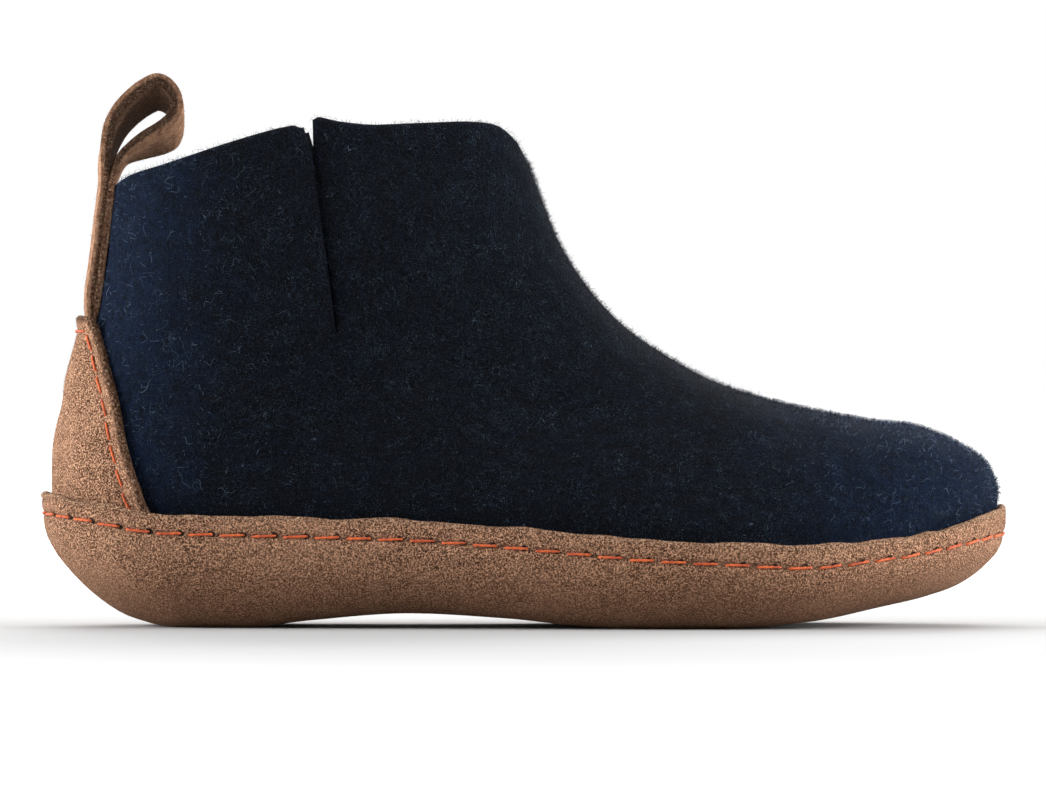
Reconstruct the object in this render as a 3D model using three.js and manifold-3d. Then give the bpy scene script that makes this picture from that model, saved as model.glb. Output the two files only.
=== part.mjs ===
// Ankle-high felt hut slipper for the right foot: a hollow wool-felt upper with a slit collar, a stitched
// suede cup sole, a suede heel counter, a folded pull loop and a felt insole.
// Millimetres, +Z up, toe towards +X, inner side of the foot towards +Y. While the pieces are shaped, X runs
// from 0 at the back of the sole to `length` at the toe, and the finished group is moved so that its origin
// is at the middle of the base.
import * as THREE from "three";
import { mergeVertices } from "three/addons/utils/BufferGeometryUtils.js";
import Module from "manifold-3d";

// Driving sizes of the whole slipper
const length = 278;
const ballWidth = 101;
const heelWidth = 75;
const toeHeight = 57;
const instepHeight = 80;
const collarHeight = 145;
const collarWidth = 77;
const ankleWidth = 72;

// Sole
const soleThickness = 11;
const archRise = 4.2;
const toeSpring = 13;
const heelSpring = 4.5;
const heelRimHeight = 38.5;
const waistRimHeight = 31;
const ballRimHeight = 24.5;
const toeRimHeight = 34.5;
const suedeWall = 2.2;
const sideUndercut = 16;
const heelUndercut = 31;
const toeUndercut = 24;
const heelEndLength = 39;
const toeEndLength = 74;
const lipRadius = 0.8;
const seamDent = 0.5;

// Felt upper
const feltWall = 4;
const feltSwell = 1.2;
const swellHeight = 6;
const shaftLean = 16;
const crownReach = 60;
const collarBackReach = 57;
const heelBackReach = 40;
const collarRise = 15;
const riseStart = 0.66;
const slitTopWidth = 2.6;
const slitWidth = 0.7;
const slitDepth = 64;
const slitLean = 8.5;
const slitPlace = 0.475;

// Heel counter, pull loop and insole
const counterWall = 2.2;
const counterTop = 88;
const counterFoot = 3;
const counterReach = 28.5;
const strapThickness = 2.2;
const strapWidth = 18;
const strapTail = 18;
const tailTip = 1;
const loopReach = 23;
const loopHeight = 31;
const loopLean = 22;
const insoleThickness = 4.5;
const gap = 0.3;
const patchGap = 0.4;

const clamp = (v, low, high) => Math.min(high, Math.max(low, v));
const mix = (a, b, share) => a + (b - a) * share;
const ease = (low, high, v) => {
  const share = clamp((v - low) / (high - low), 0, 1);
  return share * share * (3 - 2 * share);
};

// A smooth curve through one column of a table, which never swings past its rows (monotone cubic)
function column(rows, key, along = "at") {
  const x = rows.map((row) => row[along]);
  const y = rows.map((row) => row[key]);
  const slope = x.slice(1).map((_, i) => (y[i + 1] - y[i]) / (x[i + 1] - x[i]));
  const tangent = x.map((_, i) => {
    const before = slope[Math.max(i - 1, 0)];
    const after = slope[Math.min(i, slope.length - 1)];
    return before * after <= 0 ? 0 : (2 * before * after) / (before + after);
  });
  return (at) => {
    const v = clamp(at, x[0], x[x.length - 1]);
    const i = clamp(x.findIndex((edge) => edge >= v) - 1, 0, slope.length - 1);
    const step = x[i + 1] - x[i];
    const s = (v - x[i]) / step;
    const rise = y[i + 1] - y[i];
    return (
      y[i] +
      rise * s * s * (3 - 2 * s) +
      step * s * (1 - s) * (tangent[i] * (1 - s) - tangent[i + 1] * s)
    );
  };
}

// How full a rounded end is at a distance from its tip: 0 at the tip, 1 past the end's length
function roundEnd(distance, reach, power) {
  const left = 1 - clamp(distance / reach, 0, 1);
  return Math.pow(1 - Math.pow(left, power), 1 / power);
}

// Plan of the sole. at: share of length; ball: how far the width has grown from heel to ball width;
// lean: how far the middle of the outline lies to the inner side, as a share of ball width
const plan = [
  { at: 0, ball: 0, lean: 0 },
  { at: 0.16, ball: 0, lean: 0 },
  { at: 0.38, ball: 0.1, lean: -0.03 },
  { at: 0.53, ball: 0.48, lean: -0.042 },
  { at: 0.66, ball: 0.92, lean: -0.035 },
  { at: 0.76, ball: 1, lean: -0.012 },
  { at: 0.86, ball: 1, lean: 0.04 },
  { at: 0.94, ball: 0.97, lean: 0.1 },
  { at: 1, ball: 0.93, lean: 0.145 },
];
const ballShare = column(plan, "ball");
const leanShare = column(plan, "lean");
const planHalf = (x) => mix(heelWidth, ballWidth, ballShare(x / length)) / 2;
const planMiddle = (x) => ballWidth * leanShare(x / length);
const heelPower = 2.2;
const toePower = 2.05;

// Side view of the sole. at: share of length; lift: height of the underside; rim: height of the top edge
const sideView = [
  { at: 0, lift: heelSpring, rim: heelRimHeight },
  { at: 0.05, lift: 0.6 * heelSpring, rim: mix(waistRimHeight, heelRimHeight, 0.72) },
  { at: 0.11, lift: 0.2 * heelSpring, rim: mix(waistRimHeight, heelRimHeight, 0.3) },
  { at: 0.14, lift: 0, rim: mix(waistRimHeight, heelRimHeight, 0.22) },
  { at: 0.21, lift: 0, rim: mix(waistRimHeight, heelRimHeight, 0.15) },
  { at: 0.28, lift: 0.52 * archRise, rim: mix(waistRimHeight, heelRimHeight, 0.1) },
  { at: 0.38, lift: archRise, rim: waistRimHeight },
  { at: 0.48, lift: 0.68 * archRise, rim: mix(ballRimHeight, waistRimHeight, 0.74) },
  { at: 0.56, lift: 0.16 * archRise, rim: mix(ballRimHeight, waistRimHeight, 0.45) },
  { at: 0.62, lift: 0, rim: mix(ballRimHeight, waistRimHeight, 0.22) },
  { at: 0.7, lift: 0, rim: mix(ballRimHeight, waistRimHeight, 0.06) },
  { at: 0.79, lift: 0.14 * toeSpring, rim: ballRimHeight },
  { at: 0.87, lift: 0.46 * toeSpring, rim: mix(ballRimHeight, toeRimHeight, 0.13) },
  { at: 0.94, lift: 0.74 * toeSpring, rim: mix(ballRimHeight, toeRimHeight, 0.43) },
  { at: 1, lift: toeSpring, rim: toeRimHeight },
];
const lift = column(sideView, "lift");
const rim = column(sideView, "rim");
const underside = (x) => lift(x / length);
const rimAt = (x) => rim(x / length);
const cupFloor = (x) => underside(x) + soleThickness;
const shareUp = (x, z) => clamp((z - underside(x)) / (rimAt(x) - underside(x)), 0, 1);

// How the wall of the sole curls under. at: share of the wall's height; side, heel, toe: shares of the undercuts
const curl = [
  { at: 0, side: 1, heel: 1, toe: 1 },
  { at: 0.04, side: 0.75, heel: 0.8, toe: 0.7 },
  { at: 0.12, side: 0.53, heel: 0.61, toe: 0.46 },
  { at: 0.25, side: 0.31, heel: 0.4, toe: 0.25 },
  { at: 0.4, side: 0.14, heel: 0.22, toe: 0.1 },
  { at: 0.55, side: 0.05, heel: 0.09, toe: 0.035 },
  { at: 0.7, side: 0.01, heel: 0.02, toe: 0.01 },
  { at: 0.9, side: 0, heel: 0, toe: 0 },
  { at: 1, side: 0, heel: 0, toe: 0 },
];
const curlSide = column(curl, "side");
const curlHeel = column(curl, "heel");
const curlToe = column(curl, "toe");
const undercut = (up) => ({
  side: sideUndercut * curlSide(up),
  heel: heelUndercut * curlHeel(up),
  toe: toeUndercut * curlToe(up),
});

// A closed ring of the sole's outline, set in by inset, at the heights that heightAt gives
const ringHalf = 26;
const fineSteps = 200;
function ring(inset, heightAt) {
  const points = [];
  for (let k = 0; k < 2 * ringHalf; k += 1) {
    const turn = (Math.PI * k) / ringHalf;
    const side = k <= ringHalf ? -1 : 1;
    const x = mix(inset.heel, length - inset.toe, (1 - Math.cos(turn)) / 2);
    const half =
      (planHalf(x) - inset.side) *
      roundEnd(x - inset.heel, heelEndLength, heelPower) *
      roundEnd(length - inset.toe - x, toeEndLength, toePower);
    points.push([x, planMiddle(x) + side * half, heightAt(x)]);
  }
  return points;
}

const wasm = await Module();
wasm.setup();

// A manifold solid from points and triangles, with equal points merged and empty triangles left out
function solid(points, triangles) {
  const open = new THREE.BufferGeometry();
  open.setAttribute("position", new THREE.Float32BufferAttribute(points.flat(), 3));
  open.setIndex(triangles.flat());
  const merged = mergeVertices(open, 1e-3);
  const kept = [];
  for (let i = 0; i < merged.index.count; i += 3) {
    const [a, b, c] = merged.index.array.slice(i, i + 3);
    if (a !== b && b !== c && c !== a) kept.push(a, b, c);
  }
  return new wasm.Manifold(
    new wasm.Mesh({
      numProp: 3,
      vertProperties: new Float32Array(merged.attributes.position.array),
      triVerts: new Uint32Array(kept),
    }),
  );
}

// Closed stack of rings, with the first and last ring capped across from side to side
function stack(rings) {
  const n = rings[0].length;
  const triangles = [];
  for (let r = 0; r + 1 < rings.length; r += 1)
    for (let k = 0; k < n; k += 1) {
      const a = r * n + k;
      const b = r * n + ((k + 1) % n);
      triangles.push([a, b, b + n], [a, b + n, a + n]);
    }
  const cap = (start, flip) => {
    for (let k = 0; k < n / 2; k += 1) {
      const a = start + k;
      const b = start + k + 1;
      const c = start + ((n - k - 1) % n);
      const d = start + ((n - k) % n);
      triangles.push(flip ? [a, c, b] : [a, b, c], flip ? [a, d, c] : [a, c, d]);
    }
  };
  cap(0, true);
  cap((rings.length - 1) * n, false);
  return solid(rings.flat(), triangles);
}

// Centre-back line of the felt. at: share of collar height; back: share of the shaft's lean
const backLine = [
  { at: 0.22, back: 0 },
  { at: 0.345, back: 0.09 },
  { at: 0.44, back: 0.26 },
  { at: 0.54, back: 0.47 },
  { at: 0.62, back: 0.67 },
  { at: 0.745, back: 0.84 },
  { at: 0.84, back: 0.94 },
  { at: 0.89, back: 1 },
];
const backShare = column(backLine, "back");
const cupBack = suedeWall + gap + counterWall + gap;
const heelStation = 0.03 * length;
const backAt = (z) =>
  cupBack +
  shaftLean * backShare(z / collarHeight) +
  undercut(shareUp(heelStation, z)).heel;

// Front of the felt at a height, as it stands in the cup
const toeStation = 0.985 * length;
const frontAt = (z) => length - suedeWall - gap - undercut(shareUp(toeStation, z)).toe;

// Height of the felt's lower edge, just over the floor of the cup
const edgeAt = (x) => cupFloor(x) + gap;

// Top line of the felt on the middle of the foot: from its lower edge up the inside of the toe of the cup,
// and over the toe and the instep to the front of the collar
const toeFoot = edgeAt(toeStation);
const topRows = [
  { along: frontAt(toeFoot), up: toeFoot },
  { along: frontAt(mix(toeFoot, toeRimHeight, 0.3)), up: mix(toeFoot, toeRimHeight, 0.3) },
  { along: frontAt(mix(toeFoot, toeRimHeight, 0.7)), up: mix(toeFoot, toeRimHeight, 0.7) },
  { along: frontAt(toeRimHeight), up: toeRimHeight },
  { along: 0.989 * length, up: 0.7 * toeHeight },
  { along: 0.979 * length, up: 0.8 * toeHeight },
  { along: 0.956 * length, up: 0.9 * toeHeight },
  { along: 0.912 * length, up: toeHeight },
  { along: 0.849 * length, up: 0.745 * instepHeight },
  { along: 0.762 * length, up: 0.805 * instepHeight },
  { along: 0.696 * length, up: 0.88 * instepHeight },
  { along: 0.637 * length, up: 0.99 * instepHeight },
  { along: 0.588 * length, up: 0.622 * collarHeight },
  { along: 0.5555 * length, up: 0.696 * collarHeight },
  { along: 0.534 * length, up: 0.766 * collarHeight },
  { along: 0.518 * length, up: 0.838 * collarHeight },
  { along: 0.501 * length, up: 0.925 * collarHeight },
];
const topLine = new THREE.CatmullRomCurve3(
  topRows.map((row) => new THREE.Vector3(row.along, 0, row.up)),
  false,
  "centripetal",
).getSpacedPoints(500);

// Sections fan round two pivots: one far under the forefoot, which leans them a little over the toe, and one
// in front of the ankle, which turns them from upright at the instep to level at the collar
const pivotStation = 0.72 * length;
const toePivot = { x: pivotStation, z: -4 * toeHeight };
const collarFront = topLine[topLine.length - 1];
const collarBackHeight = 0.88 * collarHeight;
const collarSlope =
  (collarFront.z - collarBackHeight) / (collarFront.x - backAt(collarBackHeight));
const anklePivot = {
  x: pivotStation,
  z: collarFront.z + collarSlope * (pivotStation - collarFront.x),
};
const fanAngle = (pivot, point) =>
  Math.atan2(Math.abs(point.x - pivot.x), Math.abs(point.z - pivot.z));

// The point of the top line that a section at this angle meets
function topAt(pivot, angle, forward) {
  const side = topLine.filter((p) => (p.x >= pivotStation) === forward);
  let best = side[0];
  for (let i = 0; i + 1 < side.length; i += 1) {
    const a = fanAngle(pivot, side[i]) - angle;
    const b = fanAngle(pivot, side[i + 1]) - angle;
    if (a * b <= 0 && a !== b)
      return side[i].clone().lerp(side[i + 1], a / (a - b));
    if (Math.abs(b) < Math.abs(fanAngle(pivot, best) - angle)) best = side[i + 1];
  }
  return best;
}

// Evenly spaced points along a fine line
function spaced(line, count) {
  const run = [0];
  for (let i = 1; i < line.length; i += 1) run.push(run[i - 1] + line[i].distanceTo(line[i - 1]));
  return Array.from({ length: count + 1 }, (_, k) => {
    const aim = run[run.length - 1] * (k / count);
    const i = clamp(run.findIndex((r) => r >= aim), 1, line.length - 1);
    return line[i - 1].clone().lerp(line[i], (aim - run[i - 1]) / (run[i] - run[i - 1]));
  });
}

// Where the felt's lower edge meets its centre-back line
const heelCorner = new THREE.Vector3(heelStation, 0, edgeAt(heelStation));
for (let i = 0; i < 8; i += 1) heelCorner.set(backAt(heelCorner.z), 0, edgeAt(heelCorner.x));
heelCorner.x = backAt(heelCorner.z);

// The points that the sections stand on: from the pivots' station back along the felt's lower edge to the
// corner of the heel, and from there up the back of the felt to the collar
function feetOf() {
  const floorLine = [];
  const backRun = [];
  for (let i = 0; i <= fineSteps; i += 1) {
    const x = mix(pivotStation, heelCorner.x, i / fineSteps);
    const z = mix(heelCorner.z, collarBackHeight, i / fineSteps);
    floorLine.push(new THREE.Vector3(x, 0, edgeAt(x)));
    backRun.push(new THREE.Vector3(backAt(z), 0, z));
  }
  const onFloor = spaced(floorLine, floorSections).slice(0, -1);
  const onBack = spaced(backRun, backSections).map((p) => p.setX(backAt(p.z)));
  return [...onFloor, ...onBack];
}

// How far the collar edge stands above its chord. at: share from back to front; rise: share of collarRise
const collarLine = [
  { at: 0, rise: 0 },
  { at: 0.04, rise: 0.15 },
  { at: 0.11, rise: 0.27 },
  { at: 0.26, rise: 0.57 },
  { at: 0.4, rise: 0.82 },
  { at: 0.45, rise: 0.88 },
  { at: 0.49, rise: 1 },
  { at: 0.55, rise: 0.89 },
  { at: 0.65, rise: 0.79 },
  { at: 0.84, rise: 0.79 },
  { at: 0.92, rise: 0.73 },
  { at: 0.97, rise: 0.45 },
  { at: 1, rise: 0 },
];
const riseShare = column(collarLine, "rise");

// Width of the shaft. at: share of collar height; width: how far it has grown from ankle to collar width
const shaftRows = [
  { at: 0.3, width: 0 },
  { at: 0.55, width: 0.1 },
  { at: 0.8, width: 0.65 },
  { at: 1, width: 1 },
];
const shaftShare = column(shaftRows, "width");

// Where the felt has risen out of the foot and into the shaft
const shaftBlend = (x, z) =>
  ease(0.2 * collarHeight, 0.52 * collarHeight, z) * (1 - ease(0.4 * length, pivotStation, x));

// Half width of the felt at a station and height, before its top closes in
function feltHalf(x, z) {
  const heelZone = 1 - ease(counterReach, 2 * counterReach, x);
  const swell = feltSwell * ease(0, swellHeight, z - rimAt(x));
  const setIn =
    suedeWall +
    gap +
    (counterWall + gap) * heelZone -
    swell +
    sideUndercut * curlSide(shareUp(x, z));
  const shaft = mix(ankleWidth, collarWidth, shaftShare(z / collarHeight)) / 2;
  const backReach = mix(heelBackReach, collarBackReach, shaftBlend(0, z));
  return (
    mix(planHalf(x) - setIn, shaft, shaftBlend(x, z)) *
    roundEnd(x - backAt(z), backReach, heelPower) *
    roundEnd(frontAt(z) - x, toeEndLength, toePower)
  );
}
const feltMiddle = (x, z) => planMiddle(x) * (1 - shaftBlend(x, z));

// Sharpness of the felt's crown. at: share of length; power: 2 is an ellipse, more is squarer
const crownRows = [
  { at: 0.5, power: 2 },
  { at: 0.62, power: 1.85 },
  { at: 0.75, power: 2.05 },
  { at: 0.9, power: 2.25 },
  { at: 1, power: 2.3 },
];
const crownPower = column(crownRows, "power");

// Outer surface of the felt as rows of points, one row for each section: up the outer side, over the top
// line and down the inner side
const toeSections = 15;
const floorSections = 19;
const backSections = 20;
const sideSteps = 12;
function feltRows() {
  const sections = [];
  for (let i = 0; i < toeSections; i += 1) {
    const turn = (Math.PI / 2) * (1 - i / toeSections);
    const x = mix(pivotStation, topLine[0].x, Math.sin(turn));
    const foot = i === 0 ? topLine[0] : new THREE.Vector3(x, 0, edgeAt(x));
    const top = i === 0 ? foot : topAt(toePivot, fanAngle(toePivot, foot), true);
    sections.push({ foot, top, forward: true });
  }
  for (const foot of feetOf()) {
    const top = topAt(anklePivot, fanAngle(anklePivot, foot), false);
    sections.push({ foot, top, forward: false });
  }
  const fullFan = fanAngle(anklePivot, collarFront);
  return sections.map(({ foot, top, forward }) => {
    const span = top.distanceTo(foot);
    const crown = Math.min(span, crownReach);
    const turned = forward ? 0 : fanAngle(anklePivot, foot) / fullFan;
    const raise = collarRise * ease(riseStart, 1, turned);
    const row = [];
    for (let k = 0; k <= 2 * sideSteps; k += 1) {
      const side = k <= sideSteps ? -1 : 1;
      const t = (1 - Math.cos((Math.PI * Math.min(k, 2 * sideSteps - k)) / sideSteps)) / 2;
      const x = mix(foot.x, top.x, t);
      const z = mix(foot.z, top.z, t);
      const full = forward ? ease(0, 2 * swellHeight, z - rimAt(x)) : 0;
      const station = mix(x, foot.x, full);
      const close = span > 0 ? roundEnd((1 - t) * span, crown, crownPower(top.x / length)) : 0;
      const y = feltMiddle(station, z) + side * feltHalf(station, z) * close;
      row.push([x, y, z + raise * riseShare(t)]);
    }
    return row;
  });
}

// Triangles over a grid of rows, facing out when each row runs from -Y over the top to +Y and rows go back
function gridTriangles(rows, columns) {
  const triangles = [];
  for (let i = 0; i + 1 < rows; i += 1)
    for (let k = 0; k + 1 < columns; k += 1) {
      const a = i * columns + k;
      const b = a + columns;
      triangles.push([a, a + 1, b + 1], [a, b + 1, b]);
    }
  return triangles;
}

// An open surface with equal points merged and a smooth normal at each; ids holds each row's point numbers
function surface(rows) {
  const found = new Map();
  const at = [];
  const ids = rows.map((row) =>
    row.map((p) => {
      const key = p.map((v) => Math.round(v * 1000) + 0).join(" ");
      if (!found.has(key)) found.set(key, at.push(p) - 1);
      return found.get(key);
    }),
  );
  const flat = ids.flat();
  const index = gridTriangles(rows.length, rows[0].length)
    .map((corners) => corners.map((corner) => flat[corner]))
    .filter(([a, b, c]) => a !== b && b !== c && c !== a);
  const shape = new THREE.BufferGeometry();
  shape.setAttribute("position", new THREE.Float32BufferAttribute(at.flat(), 3));
  shape.setIndex(index.flat());
  shape.computeVertexNormals();
  const points = at.map((p, i) => ({
    at: new THREE.Vector3(...p),
    out: new THREE.Vector3().fromBufferAttribute(shape.attributes.normal, i),
  }));
  return { points, index, ids };
}

// The points of a surface moved out by an offset, and those at the ends of its rows let down by drop
function moved({ points, ids }, offset, drop) {
  const ends = new Set(ids.flatMap((row) => [row[0], row[row.length - 1]]));
  return points.map((p, i) => {
    const at = p.at.clone().addScaledVector(p.out, offset(p.at));
    if (ends.has(i)) at.z -= drop;
    return at.toArray();
  });
}

// A closed wall between two offsets of an open surface, with its free edges bridged
function wallOf(face, outerOffset, innerOffset, drop = 0) {
  const { index } = face;
  const outer = moved(face, outerOffset, drop);
  const inner = moved(face, innerOffset, drop);
  const n = outer.length;
  const triangles = index.flatMap(([a, b, c]) => [
    [a, b, c],
    [n + a, n + c, n + b],
  ]);
  const edges = new Set(index.flatMap(([a, b, c]) => [`${a} ${b}`, `${b} ${c}`, `${c} ${a}`]));
  for (const edge of edges) {
    const [a, b] = edge.split(" ").map(Number);
    if (!edges.has(`${b} ${a}`)) triangles.push([b, a, n + a], [b, n + a, n + b]);
  }
  return solid([...outer, ...inner], triangles);
}

// A solid of everything inside a surface of rows moved out by an offset, closed underneath and on top
function filled(face, offset, drop) {
  const { index, ids } = face;
  const triangles = [...index];
  const last = ids[0].length - 1;
  for (let i = 0; i + 1 < ids.length; i += 1) {
    const [a, b] = [ids[i][0], ids[i][last]];
    const [c, d] = [ids[i + 1][0], ids[i + 1][last]];
    triangles.push([a, c, d], [a, d, b]);
  }
  const collar = ids[ids.length - 1];
  for (let k = 0; k < last / 2; k += 1) {
    const [a, b] = [collar[k], collar[k + 1]];
    const [c, d] = [collar[last - k - 1], collar[last - k]];
    triangles.push([a, b, c], [a, c, d]);
  }
  return solid(moved(face, () => offset, drop), triangles);
}

const feltFace = surface(feltRows());

// Felt upper: the outer surface thickened inwards, with a slit down each side of the collar
function upper() {
  const shell = wallOf(
    feltFace,
    () => 0,
    () => -feltWall,
  );
  const back = backAt(collarBackHeight);
  const slitX = mix(back, collarFront.x, slitPlace);
  const slitTop = mix(collarBackHeight, collarFront.z, slitPlace) + collarRise;
  const above = slitTop + collarRise;
  const below = slitTop - slitDepth;
  const mouth = slitTop - slitDepth / 6;
  const outline = new THREE.Shape([
    new THREE.Vector2(slitX - slitTopWidth, above),
    new THREE.Vector2(slitX - slitTopWidth / 2 - slitWidth / 2, slitTop),
    new THREE.Vector2(slitX + slitLean / 6 - slitWidth / 2, mouth),
    new THREE.Vector2(slitX + slitLean - slitWidth / 2, below),
    new THREE.Vector2(slitX + slitLean + slitWidth / 2, below),
    new THREE.Vector2(slitX + slitLean / 6 + slitWidth / 2, mouth),
    new THREE.Vector2(slitX + slitTopWidth / 2 + slitWidth / 2, slitTop),
    new THREE.Vector2(slitX + slitTopWidth, above),
  ]);
  return shell.subtract(uprightPrism(outline, 2 * ballWidth));
}

// A shape drawn in the side view, X and Z, extruded across the foot by a width about the middle
function uprightPrism(shape, width, steps = 1, bend = (p) => p) {
  const made = new THREE.ExtrudeGeometry(shape, { depth: width, steps, bevelEnabled: false });
  made.deleteAttribute("normal");
  made.deleteAttribute("uv");
  made.rotateX(Math.PI / 2);
  made.translate(0, width / 2, 0);
  const merged = mergeVertices(made, 1e-3);
  const at = merged.attributes.position;
  const points = Array.from({ length: at.count }, (_, i) =>
    bend([at.getX(i), at.getY(i), at.getZ(i)]),
  );
  const index = [];
  for (let i = 0; i < merged.index.count; i += 3)
    index.push(Array.from(merged.index.array.slice(i, i + 3)));
  return solid(points, index);
}

// Felt surface near the heel as X at a given Y and height
function backOf(y, z) {
  let low = backAt(z);
  let high = low + heelBackReach;
  for (let i = 0; i < 40; i += 1) {
    const middle = (low + high) / 2;
    if (feltHalf(middle, z) < Math.abs(y)) low = middle;
    else high = middle;
  }
  return (low + high) / 2;
}

// How thick the two plies of the strap are below the counter's top, where they are skived
const skive = strapTail / 2;
const tailPly = (z) => mix(tailTip / 2, strapThickness, ease(counterTop - skive, counterTop + skive, z));

// Front edge of the counter. at: share of its height above the rim; reach: share of counterReach
const counterRows = [
  { at: 0, reach: 1 },
  { at: 0.12, reach: 0.88 },
  { at: 0.34, reach: 0.7 },
  { at: 0.48, reach: 0.59 },
  { at: 0.64, reach: 0.455 },
  { at: 0.74, reach: 0.35 },
  { at: 0.83, reach: 0.26 },
  { at: 0.91, reach: 0.17 },
  { at: 1, reach: 0.1 },
];
const reachShare = column(counterRows, "reach");

function counterSurface(growth) {
  const foot = cupFloor(heelStation) + counterFoot - growth;
  const rimHere = waistRimHeight;
  const [levels, across] = [16, 16];
  const rows = [];
  for (let i = 0; i <= levels; i += 1) {
    const z = mix(counterTop, foot, i / levels);
    const reach = growth + counterReach * reachShare((z - rimHere) / (counterTop - rimHere));
    const row = [];
    for (let k = 0; k <= across; k += 1) {
      const turn = (2 * k) / across - 1;
      const x = backAt(z) + reach * turn * turn;
      row.push([x, Math.sign(turn) * feltHalf(x, z), z]);
    }
    rows.push(row.reverse());
  }
  return surface(rows.reverse());
}

// Suede heel counter: a patch of the felt's own surface, eased out over the tail of the strap
const overTail = (p) => {
  const within = 1 - ease(strapWidth / 2 + 1, strapWidth, Math.abs(p.y));
  const tail = ease(counterTop - 1.5 * strapTail, counterTop - 0.9 * strapTail, p.z);
  return patchGap + within * tail * (2 * tailPly(p.z) + patchGap);
};
const counterBetween = (inner, outer, growth) =>
  wallOf(
    counterSurface(growth),
    (p) => overTail(p) + outer,
    (p) => overTail(p) + inner,
  );

// Suede cup sole: one stack of rings, hollowed by the felt and the counter with the gap between them
function sole() {
  const levels = [0, 0.04, 0.12, 0.25, 0.4, 0.55, 0.7, 0.8, 0.85, 0.9];
  const rings = levels.map((up) => {
    const inset = undercut(up);
    const dent = up === 0.85 ? seamDent : 0;
    inset.side += dent;
    inset.heel += dent;
    inset.toe += dent;
    return ring(inset, (x) => mix(underside(x), rimAt(x), up));
  });
  const lip = (inset, drop) =>
    ring({ side: inset, heel: inset, toe: inset }, (x) => rimAt(x) - drop);
  rings.push(lip(0, lipRadius), lip(0.3 * lipRadius, 0.3 * lipRadius), lip(lipRadius, 0));
  return stack(rings)
    .subtract(filled(feltFace, gap, gap))
    .subtract(counterBetween(-suedeWall, counterWall + gap, 2 * gap));
}

// Felt insole, lying on the floor of the cup: the felt's own outline there, set in by its wall
function insole() {
  const outline = [];
  for (let k = 0; k < 2 * ringHalf; k += 1) {
    const turn = (Math.PI * k) / ringHalf;
    const side = k <= ringHalf ? -1 : 1;
    const x = mix(heelCorner.x, topLine[0].x, (1 - Math.cos(turn)) / 2);
    const z = edgeAt(x);
    outline.push(new THREE.Vector3(x, feltMiddle(x, z) + side * feltHalf(x, z), z));
  }
  const level = (inset, height) =>
    outline.map((p, k) => {
      const before = outline[(k + outline.length - 1) % outline.length];
      const after = outline[(k + 1) % outline.length];
      const way = after.clone().sub(before).setZ(0).normalize();
      const at = new THREE.Vector3(p.x - way.y * inset, p.y + way.x * inset, 0);
      return [at.x, at.y, cupFloor(at.x) + gap + height];
    });
  const inset = 1.5 * feltWall;
  const edge = 0.25 * insoleThickness;
  return stack([
    level(inset, 0),
    level(inset, insoleThickness - edge),
    level(inset + edge, insoleThickness),
  ]);
}

// Run of the folded strap above the collar. forward: share of loopReach; up: share of loopHeight
const loopRows = [
  { forward: 0, up: 0.2 },
  { forward: 0.01, up: 0.38 },
  { forward: 0.06, up: 0.55 },
  { forward: 0.16, up: 0.7 },
  { forward: 0.31, up: 0.83 },
  { forward: 0.5, up: 0.94 },
  { forward: 0.69, up: 1 },
  { forward: 0.86, up: 0.95 },
  { forward: 0.97, up: 0.84 },
  { forward: 0.99, up: 0.71 },
  { forward: 0.92, up: 0.58 },
  { forward: 0.76, up: 0.48 },
  { forward: 0.55, up: 0.39 },
  { forward: 0.36, up: 0.3 },
  { forward: 0.24, up: 0.23 },
];

// Pull loop: a strap folded in two, its plies joined down the back of the felt and skived under the counter
function pullLoop() {
  const crotch = collarBackHeight;
  const outerPly = backAt(crotch) - patchGap - 1.5 * strapThickness;
  const run = new THREE.SplineCurve(
    loopRows.map(
      (row) =>
        new THREE.Vector2(outerPly + row.forward * loopReach, crotch + row.up * loopHeight),
    ),
  ).getSpacedPoints(32);
  const sideOf = (d) =>
    run.map((p, i) => {
      const a = run[Math.max(i - 1, 0)];
      const b = run[Math.min(i + 1, run.length - 1)];
      const way = b.clone().sub(a).normalize();
      return new THREE.Vector2(p.x - way.y * d, p.y + way.x * d);
    });
  const outline = sideOf(strapThickness / 2);
  const hole = sideOf(-strapThickness / 2);
  const tail = [];
  const steps = 10;
  const bottom = counterTop - strapTail;
  for (let i = 0; i <= steps; i += 1) tail.push(mix(crotch - gap, bottom, i / steps));
  const inside = tail.map((z) => new THREE.Vector2(backAt(z) - patchGap, z));
  const outside = tail
    .map((z) => new THREE.Vector2(backAt(z) - patchGap - 2 * tailPly(z), z))
    .reverse();
  const shape = new THREE.Shape([...outside, ...outline, ...inside]);
  shape.holes.push(new THREE.Path(hole.slice(2, -2).reverse()));
  const lean = Math.tan((loopLean * Math.PI) / 180);
  return uprightPrism(shape, strapWidth, 6, ([x, y, z]) => {
    const free = ease(crotch + strapThickness, crotch + 0.6 * loopHeight, z);
    const wrap = (backOf(y, Math.min(z, crotch)) - backAt(Math.min(z, crotch))) * (1 - free);
    return [x + wrap, y, z - lean * (y + strapWidth / 2) * free];
  });
}

const suede = () => new THREE.MeshStandardMaterial({ color: 0x8a6a52, roughness: 0.95, metalness: 0 });
const felt = (color) => new THREE.MeshStandardMaterial({ color, roughness: 1, metalness: 0 });

function node(name, body, material) {
  const mesh = body.getMesh();
  const geometry = new THREE.BufferGeometry();
  const at = new Float32Array(mesh.numVert * 3);
  for (let i = 0; i < mesh.numVert; i += 1)
    at.set(mesh.vertProperties.subarray(i * mesh.numProp, i * mesh.numProp + 3), i * 3);
  geometry.setAttribute("position", new THREE.BufferAttribute(at, 3));
  geometry.setIndex(new THREE.BufferAttribute(new Uint32Array(mesh.triVerts), 1));
  geometry.computeVertexNormals();
  const made = new THREE.Mesh(geometry, material);
  made.name = name;
  return made;
}

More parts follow.
